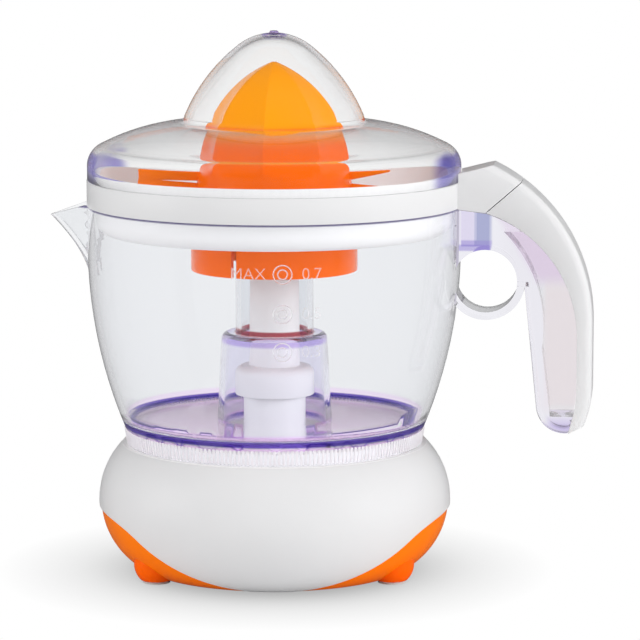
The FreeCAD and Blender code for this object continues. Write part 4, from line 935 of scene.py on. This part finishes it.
@dataclass
class FillMarks:
    """The raised fill marks on the jug's front: two rings and a number at each level."""

    turn: float = 9.1
    levels: tuple[tuple[float, str], ...] = ((0.1203, "0.7"), (0.1060, "0.5"), (0.0921, "0.3"))
    ring: tuple[float, float] = (0.0033, 0.0017)
    line: float = 0.00022
    letter: float = 0.0060
    thinned: float = -0.00006
    number_from: float = 0.0068
    word_to: float = -0.0058
    raised: float = 0.00025
    clear_of_wall: float = 0.00002
    span: float = 0.006
    far_out: float = 0.2

    def build(self, jug: bpy.types.Object) -> bpy.types.Object:
        """Write the marks flat, lay them round the wall and join them.

        Args:
            jug: The finished jug, whose wall carries the marks.

        Returns:
            The finished marks.
        """
        marks = []
        for level, number in self.levels:
            for radius in self.ring:
                marks.append(self.ring_mark(radius))
                self.lay(marks[-1], jug, level)
            marks.append(self.words(number, self.number_from, Align.START))
            self.lay(marks[-1], jug, level)
        marks.append(self.words("MAX", self.word_to, Align.END))
        self.lay(marks[-1], jug, self.levels[0][0])
        whole = joined(marks, "jug_fill_marks")
        settle(whole, Body.JUG, Slot.CLEAR, MARKING)
        return whole

    def ring_mark(self, radius: float) -> bpy.types.Object:
        """Model one ring flat, in the plane that the words lie in.

        Args:
            radius: The ring's mean radius.

        Returns:
            The ring.
        """
        bpy.ops.object.select_all(action="DESELECT")
        bpy.ops.mesh.primitive_torus_add(major_radius=radius, minor_radius=self.line, major_segments=48,
                                         minor_segments=8, location=(0.0, 0.0, 0.0))
        ring = bpy.context.active_object
        with editing(ring):
            bpy.ops.transform.resize(value=(1.0, 1.0, self.raised / (2.0 * self.line)))
            bpy.ops.transform.translate(value=(0.0, 0.0, self.raised / 2.0))
        return ring

    def words(self, text: str, start: float, align: Align) -> bpy.types.Object:
        """Write a word or number flat, as a mesh.

        Args:
            text: The word or number.
            start: Its place beside the rings.
            align: Which end of it is there.

        Returns:
            The word.
        """
        bpy.ops.object.select_all(action="DESELECT")
        bpy.ops.object.text_add(location=(0.0, 0.0, 0.0))
        word = bpy.context.active_object
        word.data.body = text
        word.data.size = self.letter
        word.data.align_x = align.value
        word.data.align_y = "CENTER"
        word.data.extrude = self.raised / 2.0
        word.data.offset = self.thinned
        bpy.ops.object.convert(target="MESH")
        word = bpy.context.active_object
        with editing(word):
            bpy.ops.mesh.remove_doubles(threshold=MERGE)
            bpy.ops.transform.translate(value=(start, 0.0, self.raised / 2.0))
        return word

    def lay(self, mark: bpy.types.Object, jug: bpy.types.Object, level: float) -> None:
        """Wrap a flat mark round the jug's wall.

        Args:
            mark: The mark, drawn in X and Y and raised along Z.
            jug: The finished jug.
            level: The height of the mark's middle.
        """
        radii = [self.wall(jug, level + step) for step in (-self.span, self.span)]
        for vertex in mark.data.vertices:
            across, up, out = vertex.co
            share = (up + self.span) / (2.0 * self.span)
            radius = radii[0] + (radii[1] - radii[0]) * share
            angle = math.radians(self.turn) + across / radius
            far = radius + out + self.clear_of_wall
            vertex.co = (far * math.sin(angle), -far * math.cos(angle), level + up)

    def wall(self, jug: bpy.types.Object, height: float) -> float:
        """Find the wall's outside at a height.

        Args:
            jug: The finished jug.
            height: The height over the floor.

        Returns:
            The wall's radius there.
        """
        turn = math.radians(self.turn)
        way = Vector((-math.sin(turn), math.cos(turn), 0.0))
        start = -way * self.far_out + Vector((0.0, 0.0, height))
        _, place, _, _ = jug.ray_cast(start, way)
        return math.hypot(place.x, place.y)


@dataclass
class Works:
    """The nodes that keep their own mesh and take a procedural finish."""

    slots: dict[str, Slot]

    @classmethod
    def from_record(cls, record: dict) -> "Works":
        """Read each node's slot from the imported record.

        Args:
            record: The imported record.

        Returns:
            The works with the slot of each node.
        """
        return cls({row["node"]: Slot(row["material_slot"]) for row in record["subparts"]})

    def dress(self, nodes: Nodes) -> None:
        """Give every node the finish of its slot.

        Args:
            nodes: The frame's nodes by name.
        """
        for name, node in nodes.items():
            slot = self.slots.get(name)
            if slot is not None:
                dress(node, FINISHES[slot])
                LOG.info("%s takes %s", name, slot.value)


@dataclass(frozen=True)
class Lamp:
    """A soft square lamp that lights the press and isn't mirrored in it."""

    name: str
    place: Point
    size: float
    power: float

    def hang(self, aim: Point) -> None:
        """Hang the lamp in its place.

        Args:
            aim: The point that it faces.
        """
        light = bpy.data.lights.new(self.name, "AREA")
        light.size = self.size
        light.energy = self.power
        holder = bpy.data.objects.new(self.name, light)
        bpy.context.scene.collection.objects.link(holder)
        holder.location = self.place
        way = Vector(aim) - Vector(self.place)
        holder.rotation_euler = way.to_track_quat("-Z", "Y").to_euler()
        holder.visible_glossy = False
        holder.visible_transmission = False


LAMPS = (
    Lamp("right_lamp", (1.45, -0.55, 0.45), 1.0, 17.0),
    Lamp("left_lamp", (-1.45, -0.55, 0.45), 1.0, 11.5),
    Lamp("front_lamp", (0.15, -1.6, 0.35), 1.0, 3.0),
    Lamp("top_lamp", (0.05, -0.6, 1.4), 1.2, 7.0),
)
PURE_WHITE = (1.0, 1.0, 1.0, 1.0)


@dataclass
class Studio:
    """The white sweep, the soft lamps and the camera."""

    azimuth: float = 6.0
    distance: float = 1.307
    height: float = 0.2825
    pitch: float = 8.2
    side: float = 0.017
    focal_px: float = 3530.0
    frame_px: float = 640.0
    sensor: float = 36.0
    clip: tuple[float, float] = (0.01, 20.0)
    aim: Point = (0.0, 0.0, 0.1)
    ambient: float = 0.34
    floor_size: float = 6.0
    floor_white: Colour = (0.92, 0.92, 0.92)
    contact: float = 0.045
    darkest: float = 0.45
    mirrored: float = 0.12
    released: float = 0.7
    dusk: tuple[float, float] = (0.1, 0.55)
    zenith: float = 0.35

    def camera(self) -> None:
        """Place the camera at the photograph's viewing angle."""
        turn = math.radians(self.azimuth)
        ahead = Vector((-math.sin(turn), math.cos(turn), 0.0))
        right = Vector((math.cos(turn), math.sin(turn), 0.0))
        dip = math.radians(self.pitch)
        up = Vector((0.0, 0.0, 1.0))
        look = ahead * math.cos(dip) - up * math.sin(dip)
        top = ahead * math.sin(dip) + up * math.cos(dip)
        lens = bpy.data.cameras.new("camera")
        lens.sensor_width = self.sensor
        lens.lens = self.focal_px / self.frame_px * self.sensor
        lens.clip_start, lens.clip_end = self.clip
        holder = bpy.data.objects.new("camera", lens)
        bpy.context.scene.collection.objects.link(holder)
        place = Matrix((right, top, -look)).transposed().to_4x4()
        place.translation = -ahead * self.distance + right * self.side + up * self.height
        holder.matrix_world = place
        bpy.context.scene.camera = holder

    def lights(self) -> None:
        """Hang the lamps and set the world behind them."""
        for lamp in LAMPS:
            lamp.hang(self.aim)
        world = bpy.data.worlds.new("studio_world")
        bpy.context.scene.world = world
        world.use_nodes = True
        tree = ShaderTree(world.node_tree)
        output = world.node_tree.nodes["World Output"]
        soft = world.node_tree.nodes["Background"]
        tree.feed(soft, "Color", PURE_WHITE)
        tree.feed(soft, "Strength", self.ambient)
        path = tree.add("LightPath")
        height = tree.add("SeparateXYZ", Vector=tree.add("TexCoord").outputs["Generated"]).outputs["Z"]
        rise = tree.add("MapRange", Value=height, From_Min=self.dusk[0], From_Max=self.dusk[1],
                        To_Min=1.0, To_Max=self.zenith)
        rise.interpolation_type = "SMOOTHSTEP"
        graded = tree.calc("MULTIPLY", rise.outputs["Result"], self.brightness(tree))
        level = tree.calc("MAXIMUM", graded, path.outputs["Is Camera Ray"])
        white = tree.add("Background", Color=PURE_WHITE, Strength=level)
        mix = tree.add("MixShader", Fac=self.seen(tree))
        tree.feed(mix, 1, soft.outputs["Background"])
        tree.feed(mix, 2, white.outputs["Background"])
        tree.feed(output, "Surface", mix.outputs["Shader"])

    def seen(self, tree: ShaderTree) -> bpy.types.NodeSocket:
        """Mark the rays that look at the background.

        Args:
            tree: The world's or the floor's tree.

        Returns:
            A socket that is 1 for camera, glossy and transmission rays.
        """
        path = tree.add("LightPath")
        direct = tree.calc("MAXIMUM", path.outputs["Is Camera Ray"], path.outputs["Is Glossy Ray"])
        return tree.calc("MAXIMUM", direct, path.outputs["Is Transmission Ray"])

    def brightness(self, tree: ShaderTree) -> bpy.types.NodeSocket:
        """Give the background's level: full when looked at or through to, less in a reflection.

        Args:
            tree: The world's or the floor's tree.

        Returns:
            The level's socket.
        """
        path = tree.add("LightPath")
        looked_at = tree.calc("MAXIMUM", path.outputs["Is Camera Ray"], path.outputs["Is Transmission Ray"])
        caught = tree.calc("GREATER_THAN", path.outputs["Glossy Depth"], MOST_REFLECTIONS)
        released = tree.calc("MAXIMUM", tree.calc("MULTIPLY", caught, self.released), self.mirrored)
        return tree.calc("MAXIMUM", looked_at, released)

    def floor(self) -> None:
        """Lay the white floor, which keeps the soft shadow."""
        bpy.ops.object.select_all(action="DESELECT")
        bpy.ops.mesh.primitive_plane_add(size=self.floor_size, location=(0.0, 0.0, 0.0))
        floor = bpy.context.active_object
        floor.name = "studio_floor"
        material = new_material("studio_floor")
        tree = ShaderTree(material.node_tree)
        nodes = material.node_tree.nodes
        nodes.remove(nodes["Principled BSDF"])
        bounce = tree.add("BsdfDiffuse", Color=rgba(self.floor_white))
        contact = tree.add("AmbientOcclusion", Distance=self.contact)
        shade = tree.scale(contact.outputs["AO"], self.darkest, 1.0)
        level = tree.calc("MULTIPLY", shade, self.brightness(tree))
        sweep = tree.add("Emission", Color=PURE_WHITE, Strength=level)
        mix = tree.add("MixShader", Fac=self.seen(tree))
        tree.feed(mix, 1, bounce.outputs["BSDF"])
        tree.feed(mix, 2, sweep.outputs["Emission"])
        tree.feed(nodes["Material Output"], "Surface", mix.outputs["Shader"])
        floor.data.materials.append(material)


def main() -> None:
    """Build the dressed press."""
    logging.basicConfig(level=logging.INFO, format="%(name)s: %(message)s")
    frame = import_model()
    bpy.context.scene.view_settings.view_transform = "Standard"
    nodes = frame["nodes"]
    Works.from_record(frame["record"]).dress(nodes)
    mouldings: list[RoundedMoulding] = [
        RoundedMoulding("jug", Body.JUG, Slot.CLEAR, JUG_CLEAR, edge=0.0),
        SpunMoulding("lid", Body.LID, Slot.CLEAR, LID_CLEAR),
        RoundedMoulding("strainer", Body.STRAINER, Slot.WHITE, STRAINER_WHITE, edge=0.0005),
        RoundedMoulding("handle_cover", Body.JUG, Slot.WHITE, WHITE, edge=0.0005),
        RoundedMoulding("base_shell", Body.BASE, Slot.WHITE, BASE_WHITE, edge=0.0005),
        # The spindle takes the lighter copy of the white, painted light for its place in shade inside the
        # jug.
        RoundedMoulding("spindle", Body.SPINDLE, Slot.WHITE, PAINTED_LIGHT_WHITE),
        RoundedMoulding("bottom_cover", Body.BASE, Slot.ORANGE, ORANGE),
        RoundedMoulding("cone", Body.CONE, Slot.ORANGE, REAMER),
        PressedSpring("return_spring", Body.OUTPUT, Slot.STEEL, FINISHES[Slot.STEEL], edge=0.0),
    ]
    for place in ("front_left", "front_right", "rear_left", "rear_right"):
        mouldings.append(RoundedMoulding("foot_" + place, Body.BASE, Slot.ORANGE, FOOT))
    built = {moulding.node: moulding.build(nodes) for moulding in mouldings}
    KnurlBand().build()
    SweepArms().build()
    FillMarks().build(built["jug"])
    studio = Studio()
    studio.floor()
    studio.lights()
    studio.camera()


if __name__ == "__main__":
    main()
